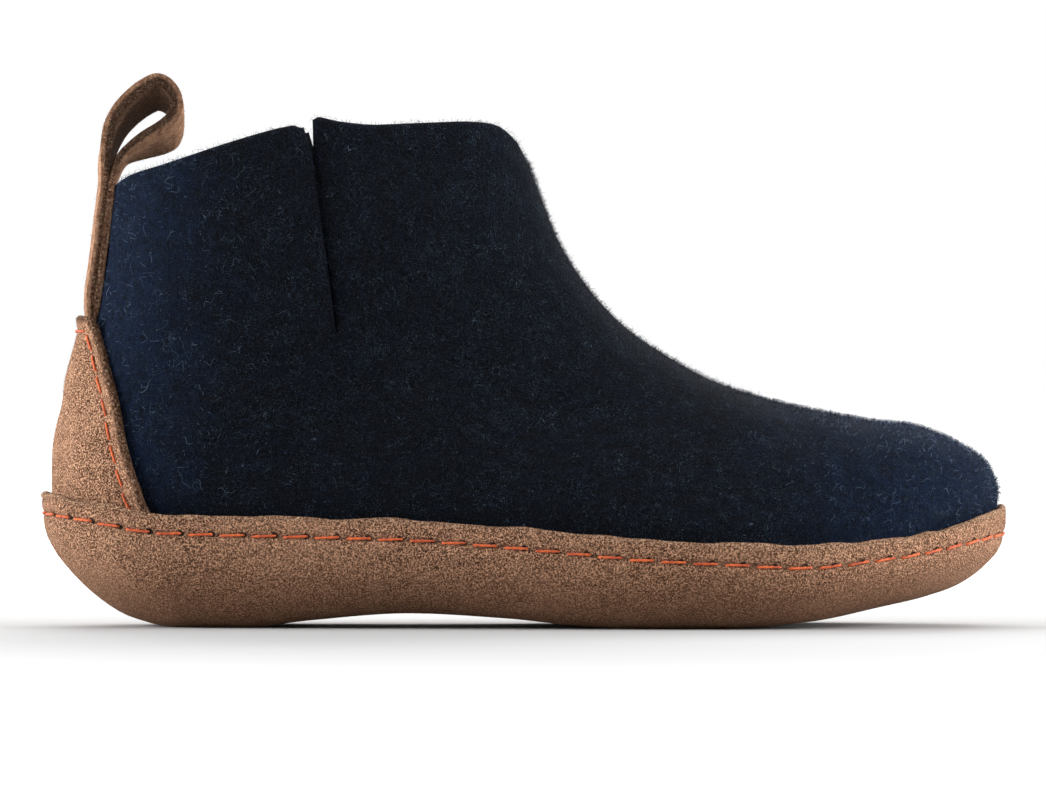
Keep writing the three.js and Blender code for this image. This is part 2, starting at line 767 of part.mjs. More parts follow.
const slipper = new THREE.Group();
slipper.add(
  node("sole", sole(), suede()),
  node("upper", upper(), felt(0x10203c)),
  node("heel_counter", counterBetween(0, counterWall, 0), suede()),
  node("pull_loop", pullLoop(), suede()),
  node("insole", insole(), felt(0x8b8a86)),
);
const box = new THREE.Box3().setFromObject(slipper);
slipper.position.set(-(box.min.x + box.max.x) / 2, -(box.min.y + box.max.y) / 2, -box.min.z);

export default slipper;
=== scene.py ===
"""Hut slipper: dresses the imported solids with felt, suede, thread and nap, and sets up the picture."""

import math

import bpy
import numpy as np
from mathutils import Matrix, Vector


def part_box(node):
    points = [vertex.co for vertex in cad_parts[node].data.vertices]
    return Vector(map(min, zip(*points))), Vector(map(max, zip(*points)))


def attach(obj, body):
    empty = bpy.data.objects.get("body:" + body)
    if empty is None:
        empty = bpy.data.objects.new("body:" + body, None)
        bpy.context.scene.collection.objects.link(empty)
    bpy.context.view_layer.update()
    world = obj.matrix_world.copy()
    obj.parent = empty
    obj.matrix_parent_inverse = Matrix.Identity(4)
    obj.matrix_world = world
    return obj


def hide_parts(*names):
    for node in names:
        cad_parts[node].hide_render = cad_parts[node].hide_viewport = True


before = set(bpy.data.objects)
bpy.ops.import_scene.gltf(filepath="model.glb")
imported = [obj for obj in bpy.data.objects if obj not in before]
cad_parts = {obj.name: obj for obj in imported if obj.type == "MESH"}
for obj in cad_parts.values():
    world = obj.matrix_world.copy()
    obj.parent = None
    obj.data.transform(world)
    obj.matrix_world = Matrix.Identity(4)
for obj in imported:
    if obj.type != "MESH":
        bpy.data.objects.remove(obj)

bl_info = {
    "name": "Felt hut slipper",
    "version": (1, 0, 0),
    "blender": (4, 5, 0),
    "location": "View3D > Sidebar > Slipper",
    "description": "Felt upper, suede cup sole, heel counter, pull loop, insole, hand stitching and nap",
    "category": "Object",
}

MM = 0.001

# Sizes of the slipper in millimetres, as its solids have them
LENGTH = 278.0
BALL_WIDTH = 101.0
HEEL_WIDTH = 75.0
TOE_HEIGHT = 57.0
INSTEP_HEIGHT = 80.0
COLLAR_HEIGHT = 145.0
COLLAR_WIDTH = 77.0
ANKLE_WIDTH = 72.0
SOLE_THICKNESS = 11.0
ARCH_RISE = 4.2
TOE_SPRING = 13.0
HEEL_SPRING = 4.5
HEEL_RIM = 38.5
WAIST_RIM = 31.0
BALL_RIM = 24.5
TOE_RIM = 34.5
SUEDE_WALL = 2.2
SIDE_UNDERCUT = 16.0
HEEL_UNDERCUT = 31.0
TOE_UNDERCUT = 24.0
HEEL_END = 39.0
TOE_END = 74.0
HEEL_POWER = 2.2
TOE_POWER = 2.05
FELT_WALL = 4.0
FELT_SWELL = 1.2
SWELL_HEIGHT = 6.0
SHAFT_LEAN = 16.0
CROWN_REACH = 60.0
COLLAR_BACK_REACH = 57.0
HEEL_BACK_REACH = 40.0
COLLAR_RISE = 15.0
RISE_START = 0.66
SLIT_DEPTH = 64.0
SLIT_LEAN = 8.5
SLIT_PLACE = 0.475
COUNTER_WALL = 2.2
COUNTER_TOP = 88.0
COUNTER_FOOT = 3.0
COUNTER_REACH = 28.5
STRAP_THICKNESS = 2.2
STRAP_WIDTH = 18.0
STRAP_TAIL = 18.0
TAIL_TIP = 1.0
LOOP_REACH = 23.0
LOOP_HEIGHT = 31.0
LOOP_LEAN = math.radians(22)
INSOLE_THICKNESS = 4.5
GAP = 0.3
PATCH_GAP = 0.4
CUP_BACK = SUEDE_WALL + GAP + COUNTER_WALL + GAP


# Helpers for shapes


def mix(a, b, share):
    """A value between a and b: a plus the share of the way to b."""
    return a + (b - a) * share


def ease(low, high, value):
    """0 below low, 1 above high, and share squared times (3 - 2 share) between them."""
    share = np.clip((value - low) / (high - low), 0, 1)
    return share * share * (3 - 2 * share)


def round_end(distance, reach, power):
    """Fullness of a rounded end: (1 - left^power)^(1/power), where left falls from 1 to 0 over reach."""
    left = 1 - np.clip(distance / reach, 0, 1)
    return (1 - left**power) ** (1 / power)


def rounding(distance, radius):
    """How far a round edge falls back at a distance from its end: radius - root(radius^2 - short^2)."""
    short = np.clip(radius - distance, 0, radius)
    return radius - np.sqrt(np.maximum(radius**2 - short**2, 0))


def table(names, *rows):
    """A short table with named columns."""
    return {name: np.array(values, float) for name, values in zip(names.split(), zip(*rows))}


def column(rows, key):
    """Monotone cubic through one column: its slopes are harmonic means, and it never swings past its rows."""
    x, y = rows["at"], rows[key]
    slope = np.diff(y) / np.diff(x)
    before = np.concatenate([slope[:1], slope])
    after = np.concatenate([slope, slope[-1:]])
    total = np.where(before + after == 0, 1, before + after)
    tangent = np.where(before * after <= 0, 0, 2 * before * after / total)

    def value(at):
        v = np.clip(at, x[0], x[-1])
        i = np.clip(np.searchsorted(x, v, side="left") - 1, 0, len(slope) - 1)
        step = x[i + 1] - x[i]
        s = (v - x[i]) / step
        swing = tangent[i] * (1 - s) - tangent[i + 1] * s
        return y[i] + (y[i + 1] - y[i]) * s * s * (3 - 2 * s) + step * s * (1 - s) * swing

    return value


def curve_through(points, power, steps=40):
    """Catmull-Rom curve through points: each stretch is a cubic whose end slopes come from its neighbours,
    with knots spaced by distance to the given power (0 even, 0.5 centripetal)."""
    p = np.asarray(points, float)
    p = np.vstack([2 * p[:1] - p[1:2], p, 2 * p[-1:] - p[-2:-1]])
    knots = np.linalg.norm(np.diff(p, axis=0), axis=1) ** power
    before, here, after = knots[:-2, None], knots[1:-1, None], knots[2:, None]
    a, b, c, d = p[:-3], p[1:-2], p[2:-1], p[3:]
    start = here * ((b - a) / before - (c - a) / (before + here) + (c - b) / here)
    end = here * ((c - b) / here - (d - b) / (here + after) + (d - c) / after)
    s = (np.arange(steps) / steps)[:, None, None]
    run = (
        b * (2 * s**3 - 3 * s**2 + 1)
        + start * (s**3 - 2 * s**2 + s)
        + c * (3 * s**2 - 2 * s**3)
        + end * (s**3 - s**2)
    )
    return np.vstack([run.transpose(1, 0, 2).reshape(-1, p.shape[1]), p[-2:-1]])


def run_along(line):
    """Distance run along a line at each of its points."""
    return np.concatenate([[0], np.cumsum(np.linalg.norm(np.diff(line, axis=0), axis=1))])


def spaced(line, shares):
    """Points of a line at shares of its length."""
    run = run_along(line)
    aim = np.asarray(shares) * run[-1]
    return np.stack([np.interp(aim, run, line[:, i]) for i in range(line.shape[1])], axis=1)


def grid_faces(rows, columns, around=False):
    """Triangles of a grid: two for each cell. If it goes around, the last column is joined to the first."""
    i, k = np.meshgrid(np.arange(rows - 1), np.arange(columns if around else columns - 1), indexing="ij")
    a = (i * columns + k).ravel()
    b = (i * columns + (k + 1) % columns).ravel()
    return np.concatenate([np.stack([a, b, b + columns], 1), np.stack([a, b + columns, a + columns], 1)])


def weld(points, faces):
    """Merges points that fall together and leaves out empty triangles; kept says which points remain."""
    _, kept, place = np.unique(np.round(points, 4), axis=0, return_index=True, return_inverse=True)
    faces = place.reshape(-1)[faces]
    a, b, c = faces.T
    return kept, faces[(a != b) & (b != c) & (c != a)]


def normals_of(points, faces):
    """Normal at each point: the sum of the cross products of its triangles, made unit length."""
    a, b, c = (points[faces[:, i]] for i in range(3))
    across = np.cross(b - a, c - a)
    total = np.zeros_like(points)
    for i in range(3):
        np.add.at(total, faces[:, i], across)
    return total / np.maximum(np.linalg.norm(total, axis=1, keepdims=True), 1e-12)


def wall_faces(faces, count):
    """Faces of a closed wall: the sheet, its copy turned round, and two triangles along each free edge."""
    edges = np.concatenate([faces[:, [0, 1]], faces[:, [1, 2]], faces[:, [2, 0]]])
    free = edges[~np.isin(edges[:, 0] * count + edges[:, 1], edges[:, 1] * count + edges[:, 0])]
    a, b = free.T
    bridge = [np.stack([b, a, a + count], 1), np.stack([b, a + count, b + count], 1)]
    return np.concatenate([faces, faces[:, ::-1] + count, *bridge])


def waves(points, seed, reach, count=14):
    """Soft random lumps between about -1 and 1: a sum of sines with random directions and phases,
    whose wavelengths lie between one and two and a half times reach."""
    dice = np.random.default_rng(seed)
    way = dice.normal(size=(count, 3))
    way /= np.linalg.norm(way, axis=1, keepdims=True)
    way *= 2 * np.pi / (reach * dice.uniform(1, 2.5, (count, 1)))
    phase = dice.uniform(0, 2 * np.pi, count)
    return np.sin(points @ way.T + phase).sum(axis=-1) / math.sqrt(2 * count)


# Plan of the sole. at: share of length; ball: growth from heel to ball width; lean: how far its middle lies
# towards the inner side, as a share of the ball width
PLAN = table(
    "at ball lean",
    (0, 0, 0),
    (0.16, 0, 0),
    (0.38, 0.1, -0.03),
    (0.53, 0.48, -0.042),
    (0.66, 0.92, -0.035),
    (0.76, 1, -0.012),
    (0.86, 1, 0.04),
    (0.94, 0.97, 0.1),
    (1, 0.93, 0.145),
)
ball_share = column(PLAN, "ball")
lean_share = column(PLAN, "lean")

# Side view of the sole. at: share of length; lift: height of the underside; rim: height of the top edge
SIDE_VIEW = table(
    "at lift rim",
    (0, HEEL_SPRING, HEEL_RIM),
    (0.05, 0.6 * HEEL_SPRING, mix(WAIST_RIM, HEEL_RIM, 0.72)),
    (0.11, 0.2 * HEEL_SPRING, mix(WAIST_RIM, HEEL_RIM, 0.3)),
    (0.14, 0, mix(WAIST_RIM, HEEL_RIM, 0.22)),
    (0.21, 0, mix(WAIST_RIM, HEEL_RIM, 0.15)),
    (0.28, 0.52 * ARCH_RISE, mix(WAIST_RIM, HEEL_RIM, 0.1)),
    (0.38, ARCH_RISE, WAIST_RIM),
    (0.48, 0.68 * ARCH_RISE, mix(BALL_RIM, WAIST_RIM, 0.74)),
    (0.56, 0.16 * ARCH_RISE, mix(BALL_RIM, WAIST_RIM, 0.45)),
    (0.62, 0, mix(BALL_RIM, WAIST_RIM, 0.22)),
    (0.7, 0, mix(BALL_RIM, WAIST_RIM, 0.06)),
    (0.79, 0.14 * TOE_SPRING, BALL_RIM),
    (0.87, 0.46 * TOE_SPRING, mix(BALL_RIM, TOE_RIM, 0.13)),
    (0.94, 0.74 * TOE_SPRING, mix(BALL_RIM, TOE_RIM, 0.43)),
    (1, TOE_SPRING, TOE_RIM),
)
lift = column(SIDE_VIEW, "lift")
rim = column(SIDE_VIEW, "rim")

# How the wall of the sole curls under. at: share of its height; side, heel, toe: shares of the undercuts
CURL = table(
    "at side heel toe",
    (0, 1, 1, 1),
    (0.04, 0.75, 0.8, 0.7),
    (0.12, 0.53, 0.61, 0.46),
    (0.25, 0.31, 0.4, 0.25),
    (0.4, 0.14, 0.22, 0.1),
    (0.55, 0.05, 0.09, 0.035),
    (0.7, 0.01, 0.02, 0.01),
    (0.9, 0, 0, 0),
    (1, 0, 0, 0),
)
curl_side = column(CURL, "side")
curl_heel = column(CURL, "heel")
curl_toe = column(CURL, "toe")


def plan_half(x):
    """Half width of the sole: from heel to ball width by the plan's share."""
    return mix(HEEL_WIDTH, BALL_WIDTH, ball_share(x / LENGTH)) / 2


def plan_middle(x):
    """Middle of the sole's outline: the plan's lean times the ball width."""
    return BALL_WIDTH * lean_share(x / LENGTH)


def underside(x):
    """Height of the sole's underside."""
    return lift(x / LENGTH)


def rim_at(x):
    """Height of the cup's top edge."""
    return rim(x / LENGTH)


def cup_floor(x):
    """Height of the floor of the cup."""
    return underside(x) + SOLE_THICKNESS


def share_up(x, z):
    """Share of the wall's height."""
    return np.clip((z - underside(x)) / (rim_at(x) - underside(x)), 0, 1)


# Centre-back line of the felt. at: share of collar height; back: share of the shaft's lean
BACK_LINE = table(
    "at back",
    (0.22, 0),
    (0.345, 0.09),
    (0.44, 0.26),
    (0.54, 0.47),
    (0.62, 0.67),
    (0.745, 0.84),
    (0.84, 0.94),
    (0.89, 1),
)
back_share = column(BACK_LINE, "back")
HEEL_STATION = 0.03 * LENGTH
TOE_STATION = 0.985 * LENGTH


def back_at(z):
    """Centre back of the felt: the cup's back wall, the shaft's lean and the curl under the heel."""
    curl = HEEL_UNDERCUT * curl_heel(share_up(HEEL_STATION, z))
    return CUP_BACK + SHAFT_LEAN * back_share(z / COLLAR_HEIGHT) + curl


def front_at(z):
    """Front of the felt inside the toe of the cup."""
    return LENGTH - SUEDE_WALL - GAP - TOE_UNDERCUT * curl_toe(share_up(TOE_STATION, z))


def edge_at(x):
    """Height of the felt's lower edge, just over the floor of the cup."""
    return cup_floor(x) + GAP


TOE_FOOT = float(edge_at(TOE_STATION))
LOW_FRONT = mix(TOE_FOOT, TOE_RIM, 0.3)
HIGH_FRONT = mix(TOE_FOOT, TOE_RIM, 0.7)
# Top line of the felt on the middle of the foot: along the foot, and up
TOP_ROWS = table(
    "along up",
    (front_at(TOE_FOOT), TOE_FOOT),
    (front_at(LOW_FRONT), LOW_FRONT),
    (front_at(HIGH_FRONT), HIGH_FRONT),
    (front_at(TOE_RIM), TOE_RIM),
    (0.989 * LENGTH, 0.7 * TOE_HEIGHT),
    (0.979 * LENGTH, 0.8 * TOE_HEIGHT),
    (0.956 * LENGTH, 0.9 * TOE_HEIGHT),
    (0.912 * LENGTH, TOE_HEIGHT),
    (0.849 * LENGTH, 0.745 * INSTEP_HEIGHT),
    (0.762 * LENGTH, 0.805 * INSTEP_HEIGHT),
    (0.696 * LENGTH, 0.88 * INSTEP_HEIGHT),
    (0.637 * LENGTH, 0.99 * INSTEP_HEIGHT),
    (0.588 * LENGTH, 0.622 * COLLAR_HEIGHT),
    (0.5555 * LENGTH, 0.696 * COLLAR_HEIGHT),
    (0.534 * LENGTH, 0.766 * COLLAR_HEIGHT),
    (0.518 * LENGTH, 0.838 * COLLAR_HEIGHT),
    (0.501 * LENGTH, 0.925 * COLLAR_HEIGHT),
)
TOP_LINE = curve_through(np.stack([TOP_ROWS["along"], TOP_ROWS["up"]], 1), 0.5)

PIVOT_STATION = 0.72 * LENGTH
TOE_PIVOT = (PIVOT_STATION, -4 * TOE_HEIGHT)
COLLAR_FRONT = TOP_LINE[-1]
COLLAR_BACK_HEIGHT = 0.88 * COLLAR_HEIGHT
COLLAR_BACK = float(back_at(COLLAR_BACK_HEIGHT))
COLLAR_SLOPE = (COLLAR_FRONT[1] - COLLAR_BACK_HEIGHT) / (COLLAR_FRONT[0] - COLLAR_BACK)
ANKLE_PIVOT = (PIVOT_STATION, COLLAR_FRONT[1] + COLLAR_SLOPE * (PIVOT_STATION - COLLAR_FRONT[0]))


def fan_angle(pivot, points):
    """Angle of points off the upright through a pivot: arc tangent of the distance along over that up."""
    return np.arctan2(np.abs(points[:, 0] - pivot[0]), np.abs(points[:, 1] - pivot[1]))


FULL_FAN = float(fan_angle(ANKLE_PIVOT, COLLAR_FRONT[None])[0])

# How far the collar stands above its chord. at: share from back to front; rise: share of the collar's rise
COLLAR_LINE = table(
    "at rise",
    (0, 0),
    (0.04, 0.15),
    (0.11, 0.27),
    (0.26, 0.57),
    (0.4, 0.82),
    (0.45, 0.88),
    (0.49, 1),
    (0.55, 0.89),
    (0.65, 0.79),
    (0.84, 0.79),
    (0.92, 0.73),
    (0.97, 0.45),
    (1, 0),
)
rise_share = column(COLLAR_LINE, "rise")
shaft_share = column(table("at width", (0.3, 0), (0.55, 0.1), (0.8, 0.65), (1, 1)), "width")
crown_power = column(table("at power", (0.5, 2), (0.62, 1.85), (0.75, 2.05), (0.9, 2.25), (1, 2.3)), "power")


def shaft_blend(x, z):
    """Where the felt has risen out of the foot and into the shaft: eased up over the ankle's height, and
    eased out towards the instep."""
    up = ease(0.2 * COLLAR_HEIGHT, 0.52 * COLLAR_HEIGHT, z)
    return up * (1 - ease(0.4 * LENGTH, PIVOT_STATION, x))


def felt_half(x, z):
    """Half width of the felt before its top closes in: the sole's half width less the walls it stands in,
    blended into half the shaft's width, times the rounded ends of heel and toe."""
    heel_zone = 1 - ease(COUNTER_REACH, 2 * COUNTER_REACH, x)
    swell = FELT_SWELL * ease(0, SWELL_HEIGHT, z - rim_at(x))
    curl = SIDE_UNDERCUT * curl_side(share_up(x, z))
    set_in = SUEDE_WALL + GAP + (COUNTER_WALL + GAP) * heel_zone - swell + curl
    shaft = mix(ANKLE_WIDTH, COLLAR_WIDTH, shaft_share(z / COLLAR_HEIGHT)) / 2
    back_reach = mix(HEEL_BACK_REACH, COLLAR_BACK_REACH, shaft_blend(0, z))
    return (
        mix(plan_half(x) - set_in, shaft, shaft_blend(x, z))
        * round_end(x - back_at(z), back_reach, HEEL_POWER)
        * round_end(front_at(z) - x, TOE_END, TOE_POWER)
    )


def felt_middle(x, z):
    """Middle of the felt across the foot: the plan's, fading to straight in the shaft."""
    return plan_middle(x) * (1 - shaft_blend(x, z))


def heel_corner():
    """Where the felt's lower edge meets its centre-back line, found by going back and forth a few times."""
    x = HEEL_STATION
    for _ in range(8):
        z = float(edge_at(x))
        x = float(back_at(z))
    return x, z


HEEL_CORNER = heel_corner()

# Place of the slit in the side view
SLIT_X = mix(COLLAR_BACK, COLLAR_FRONT[0], SLIT_PLACE)
SLIT_TOP = mix(COLLAR_BACK_HEIGHT, COLLAR_FRONT[1], SLIT_PLACE) + COLLAR_RISE
SLIT_END = SLIT_TOP - SLIT_DEPTH
SLIT_MOUTH = 10.0

# Where the solids stand in the frame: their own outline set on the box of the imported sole
SOLE_LOW, SOLE_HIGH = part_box("sole")


def outline_half(x, heel_in, toe_in, side_in):
    """Half width of a ring of the sole: the plan less the inset, times the rounded ends of heel and toe."""
    return (
        (plan_half(x) - side_in)
        * round_end(x - heel_in, HEEL_END, HEEL_POWER)
        * round_end(LENGTH - toe_in - x, TOE_END, TOE_POWER)
    )


STATIONS = np.linspace(0, LENGTH, 1200)
OUTLINE_HALF = outline_half(STATIONS, 0, 0, 0)
OUTLINE_MIDDLE = (
    np.max(plan_middle(STATIONS) + OUTLINE_HALF) + np.min(plan_middle(STATIONS) - OUTLINE_HALF)
) / 2
SHIFT = np.array(
    [
        SOLE_LOW.x / MM,
        (SOLE_LOW.y + SOLE_HIGH.y) / 2 / MM - OUTLINE_MIDDLE,
        0.0,
    ]
)


def make_piece(name, points, faces, material, stands_for=(), marks=None):
    """Makes a mesh from points in millimetres and triangles, and lets it ride on the slipper's body.
    marks are values at the points, which the materials read by name."""
    mesh = bpy.data.meshes.new(name)
    faces = np.asarray(faces, np.int32)
    mesh.vertices.add(len(points))
    mesh.vertices.foreach_set("co", ((points + SHIFT) * MM).astype(np.float32).ravel())
    mesh.loops.add(faces.size)
    mesh.loops.foreach_set("vertex_index", faces.ravel())
    mesh.polygons.add(len(faces))
    mesh.polygons.foreach_set("loop_start", np.arange(0, faces.size, 3, dtype=np.int32))
    mesh.polygons.foreach_set("use_smooth", np.ones(len(faces), bool))
    for mark, values in (marks or {}).items():
        layer = mesh.attributes.new(mark, "FLOAT", "POINT")
        layer.data.foreach_set("value", np.asarray(values, np.float32))
    mesh.update(calc_edges=True)
    mesh.validate()
    mesh.materials.append(material)
    piece = bpy.data.objects.new(name, mesh)
    bpy.context.scene.collection.objects.link(piece)
    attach(piece, "root")
    if stands_for:
        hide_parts(*stands_for)
    return piece


# Felt upper


def felt_sections():
    """Feet and tops of the felt's sections, from the toe back to the collar, as x and z in the side view.
    Forward feet lie at the pivots' station plus sin(turn) of the way to the toe; the others are evenly
    spaced back along the felt's lower edge and closer and closer up the centre back."""
    toe, floor, back = 58, 56, 78
    turn = (np.pi / 2) * (1 - np.arange(toe) / toe)
    x = mix(PIVOT_STATION, TOP_LINE[0, 0], np.sin(turn))
    front_feet = np.stack([x, edge_at(x)], 1)
    front_feet[0] = TOP_LINE[0]
    along = np.linspace(PIVOT_STATION, HEEL_CORNER[0], 400)
    floor_feet = spaced(np.stack([along, edge_at(along)], 1), np.arange(floor) / floor)
    up = np.linspace(HEEL_CORNER[1], COLLAR_BACK_HEIGHT, 400)
    shares = 1 - (1 - np.arange(back + 1) / back) ** 1.6
    back_feet = spaced(np.stack([back_at(up), up], 1), shares)
    back_feet[:, 0] = back_at(back_feet[:, 1])
    rear_feet = np.vstack([floor_feet, back_feet])

    def top_of(pivot, line, feet, steady):
        angle = steady(fan_angle(pivot, line))
        order = np.argsort(angle, kind="stable")
        aim = fan_angle(pivot, feet)
        return np.stack([np.interp(aim, angle[order], line[order, i]) for i in range(2)], 1)

    ahead = TOP_LINE[:, 0] >= PIVOT_STATION
    front_tops = top_of(TOE_PIVOT, TOP_LINE[ahead], front_feet, np.minimum.accumulate)
    front_tops[0] = front_feet[0]
    rear_tops = top_of(ANKLE_PIVOT, TOP_LINE[~ahead], rear_feet, np.maximum.accumulate)
    forward = np.arange(toe + len(rear_feet)) < toe
    return np.vstack([front_feet, rear_feet]), np.vstack([front_tops, rear_tops]), forward


class FeltGrid:
    """Outer surface of the felt as a grid: a row for each section, columns up one side, over the top and
    down the other."""

    def __init__(self):
        self.feet, self.tops, self.forward = felt_sections()
        self.span = np.linalg.norm(self.tops - self.feet, axis=1)
        turned = np.where(self.forward, 0, fan_angle(ANKLE_PIVOT, self.feet) / FULL_FAN)
        self.rise = COLLAR_RISE * ease(RISE_START, 1, turned)
        self.crown = np.maximum(np.minimum(self.span, CROWN_REACH), 1e-6)

    def side_view(self, t):
        """Point of each section in side view: t of the way from foot to top, raised by the collar line."""
        x = mix(self.feet[:, :1], self.tops[:, :1], t)
        z = mix(self.feet[:, 1:], self.tops[:, 1:], t)
        return x, z, z + self.rise[:, None] * rise_share(t)

    def point(self, t, side):
        """Point of the felt: middle plus side times half width times the crown's rounding."""
        x, z, raised = self.side_view(t)
        full = np.where(self.forward[:, None], ease(0, 2 * SWELL_HEIGHT, z - rim_at(x)), 0)
        station = mix(x, self.feet[:, :1], full)
        power = crown_power(self.tops[:, :1] / LENGTH)
        close = round_end((1 - t) * self.span[:, None], self.crown[:, None], power)
        y = felt_middle(station, z) + side * felt_half(station, z) * close
        return np.stack([x, y, raised], axis=-1)

    def slit_share(self):
        """Share t at which each section crosses the slit's line, by halving; kept near the middle."""
        low, high = np.full((len(self.feet), 1), 0.45), np.full((len(self.feet), 1), 0.58)
        for _ in range(30):
            middle = (low + high) / 2
            x, _, raised = self.side_view(middle)
            short = x < SLIT_X + SLIT_LEAN * (SLIT_TOP - raised) / SLIT_DEPTH
            low, high = np.where(short, middle, low), np.where(short, high, middle)
        return middle


def felt_surface(slit_gap, edge_radius, front_sink):
    """The felt's outer sheet and how far both faces of its wall move: columns lie quadratically closer to the
    back, the crown and the slit. Returns points, normals, triangles and the two offsets."""
    grid = FeltGrid()
    slit = grid.slit_share()
    near = np.array([0, 0.35, 0.75, 1.25, 1.9, 2.7, 3.8])
    reach = near[-1]
    wide = np.maximum(grid.span, CROWN_REACH)[:, None]
    _, _, slit_height = grid.side_view(slit)
    mouth = np.clip((slit_height - SLIT_TOP) / SLIT_MOUTH + 1, 0, 1)
    opened = ease(SLIT_END, SLIT_END + 5, slit_height) * mix(0.15, 1, mouth)
    half_gap = slit_gap / 2 * opened
    s = np.arange(24) / 24
    below = (slit - (reach + half_gap) / wide) * (1 - np.cos(np.pi / 2 * s))
    before = slit - (near[::-1] + half_gap) / wide
    after = slit + (near + half_gap) / wide
    start = after[:, -1:]
    above = start + (1 - start) * np.sin(np.pi / 2 * (np.arange(1, 25) / 24))
    t = np.hstack([below, before, after, above])
    t[:, -1] = 1
    outer_side = grid.point(t, -1)
    inner_side = grid.point(t[:, ::-1], 1)[:, 1:]
    points = np.hstack([outer_side, inner_side])
    rows, across = points.shape[:2]

    distance = np.hstack([np.abs(t - slit), np.abs(t - slit)[:, ::-1][:, 1:]]) * wide - half_gap
    is_front = np.hstack([t > slit, (t > slit)[:, ::-1][:, 1:]])
    has_slit = ease(SLIT_END, SLIT_END + 8, slit_height)
    steps = np.linalg.norm(np.diff(points, axis=0), axis=2)
    to_collar = np.vstack([np.cumsum(steps[::-1], axis=0)[::-1], np.zeros((1, across))])

    back_corner = 1.7 * (1 - ease(0, 3.4, distance))
    front_corner = 0.8 * (1 - ease(0, 2, distance))
    points[..., 2] -= np.where(is_front, front_corner, back_corner) * has_slit * (1 - ease(0, 12, to_collar))

    slit_round = rounding(np.maximum(distance, 0), edge_radius) * has_slit
    collar_round = rounding(to_collar, edge_radius)
    edge = np.minimum(np.maximum(slit_round, collar_round), edge_radius)
    sink = front_sink * has_slit * is_front * np.exp(-((np.maximum(distance, 0) / 6) ** 2))

    faces = grid_faces(rows, across)
    gap_left = len(below[0]) + len(near) - 1
    gap_right = across - 2 - gap_left
    cell = np.minimum(faces[:, 0] % across, np.minimum(faces[:, 1] % across, faces[:, 2] % across))
    faces = faces[(cell != gap_left) & (cell != gap_right)]
    flat = points.reshape(-1, 3)
    kept, faces = weld(flat, faces)
    flat = flat[kept]
    normal = normals_of(flat, faces)
    return {
        "points": flat,
        "normals": normal,
        "faces": faces,
        "edge": edge.ravel()[kept],
        "sink": sink.ravel()[kept],
    }


# Soft hollows of the felt. x, z: place in the side view; along, across: how far they reach;
# turn: degrees off level; depth: millimetres
HOLLOWS = table(
    "x z along across turn depth",
    (87, 77, 9, 5, -70, 0.9),
    (108, 84, 24, 8, -24, 0.7),
    (128, 98, 16, 6, -38, 0.6),
    (40, 72, 22, 9, 60, 0.5),
    (150, 62, 30, 10, -14, 0.5),
    (205, 52, 26, 7, 4, 0.35),
    (60, 108, 20, 7, 82, 0.4),
)


def hollows(points):
    """Depth of the soft hollows at points: depth times exp(-(u/along)^2 - (v/across)^2) for each."""
    turn = np.radians(HOLLOWS["turn"])
    dx = points[:, :1] - HOLLOWS["x"]
    dz = points[:, 2:] - HOLLOWS["z"]
    u = dx * np.cos(turn) + dz * np.sin(turn)
    v = dz * np.cos(turn) - dx * np.sin(turn)
    fall = np.exp(-((u / HOLLOWS["along"]) ** 2) - (v / HOLLOWS["across"]) ** 2)
    return (HOLLOWS["depth"] * fall).sum(axis=1)


# How far the felt puffs out over the rim at the toe, and the depth of its lumps
TOE_PUFF = 2.6
BROAD_LUMPS = 0.28
NARROW_LUMPS = 0.13


def felt_lumps(points):
    """Uneven surface of hand felt: broad and narrow soft lumps and the hollows, fading out at the rim, and
    the puff over the rim at the toe, which is smaller at the very tip."""
    above = points[:, 2] - rim_at(points[:, 0])
    broad = BROAD_LUMPS * waves(points, 11, 26)
    narrow = NARROW_LUMPS * waves(points, 12, 9)
    lumps = ease(0.5, 9, above) * (broad + narrow - hollows(points))
    share = points[:, 0] / LENGTH
    toe = ease(0.85, 0.97, share) * (1 - 0.8 * ease(0.955, 0.99, share))
    return lumps + TOE_PUFF * toe * ease(0, 6, above) * (1 - ease(5, 24, above))


def felt_faces_of(settings):
    """Outer face of the felt with its lumps, and how far the inner face lies behind the smooth sheet."""
    sheet = felt_surface(settings.slit_gap / MM, settings.edge_radius / MM, settings.front_sink / MM)
    lumps = felt_lumps(sheet["points"]) - sheet["sink"]
    outer = sheet["points"] + sheet["normals"] * (lumps - sheet["edge"])[:, None]
    inner = sheet["points"] + sheet["normals"] * (0.6 * lumps - FELT_WALL + sheet["edge"])[:, None]
    return sheet, outer, inner


# Suede sole

# How far the seam runs under the rim. at: share of length; drop: millimetres
SEAM_ROWS = table(
    "at drop",
    (0, 5.8),
    (0.1, 5.5),
    (0.37, 5.6),
    (0.53, 6),
    (0.7, 6.2),
    (0.78, 6.9),
    (0.87, 5.9),
    (0.94, 5.6),
    (0.975, 6.6),
    (1, 8),
)
seam_drop = column(SEAM_ROWS, "drop")

# Rounded top edge of the cup. back: in from the outer face; down: under the rim
LIP_ROWS = table(
    "back down",
    (0, 1),
    (0.08, 0.6),
    (0.28, 0.28),
    (0.6, 0.08),
    (1, 0),
    (1.4, 0.08),
    (1.8, 0.35),
    (SUEDE_WALL, 0.9),
)
SEAM_MARGIN = 2.6
PINCH_REACH = 0.9
LIP_PUFF = 0.22
RIM_WAVES = 0.45
HEEL_LIP = 0.5
# What the mark for the height off the seam says on the underside and inside the cup
UNDERSIDE_MARK = -30.0
INSIDE_MARK = 6.0


def seam_height(x):
    """Height of the sole's seam: its drop under the rim."""
    return rim_at(x) - seam_drop(x / LENGTH)


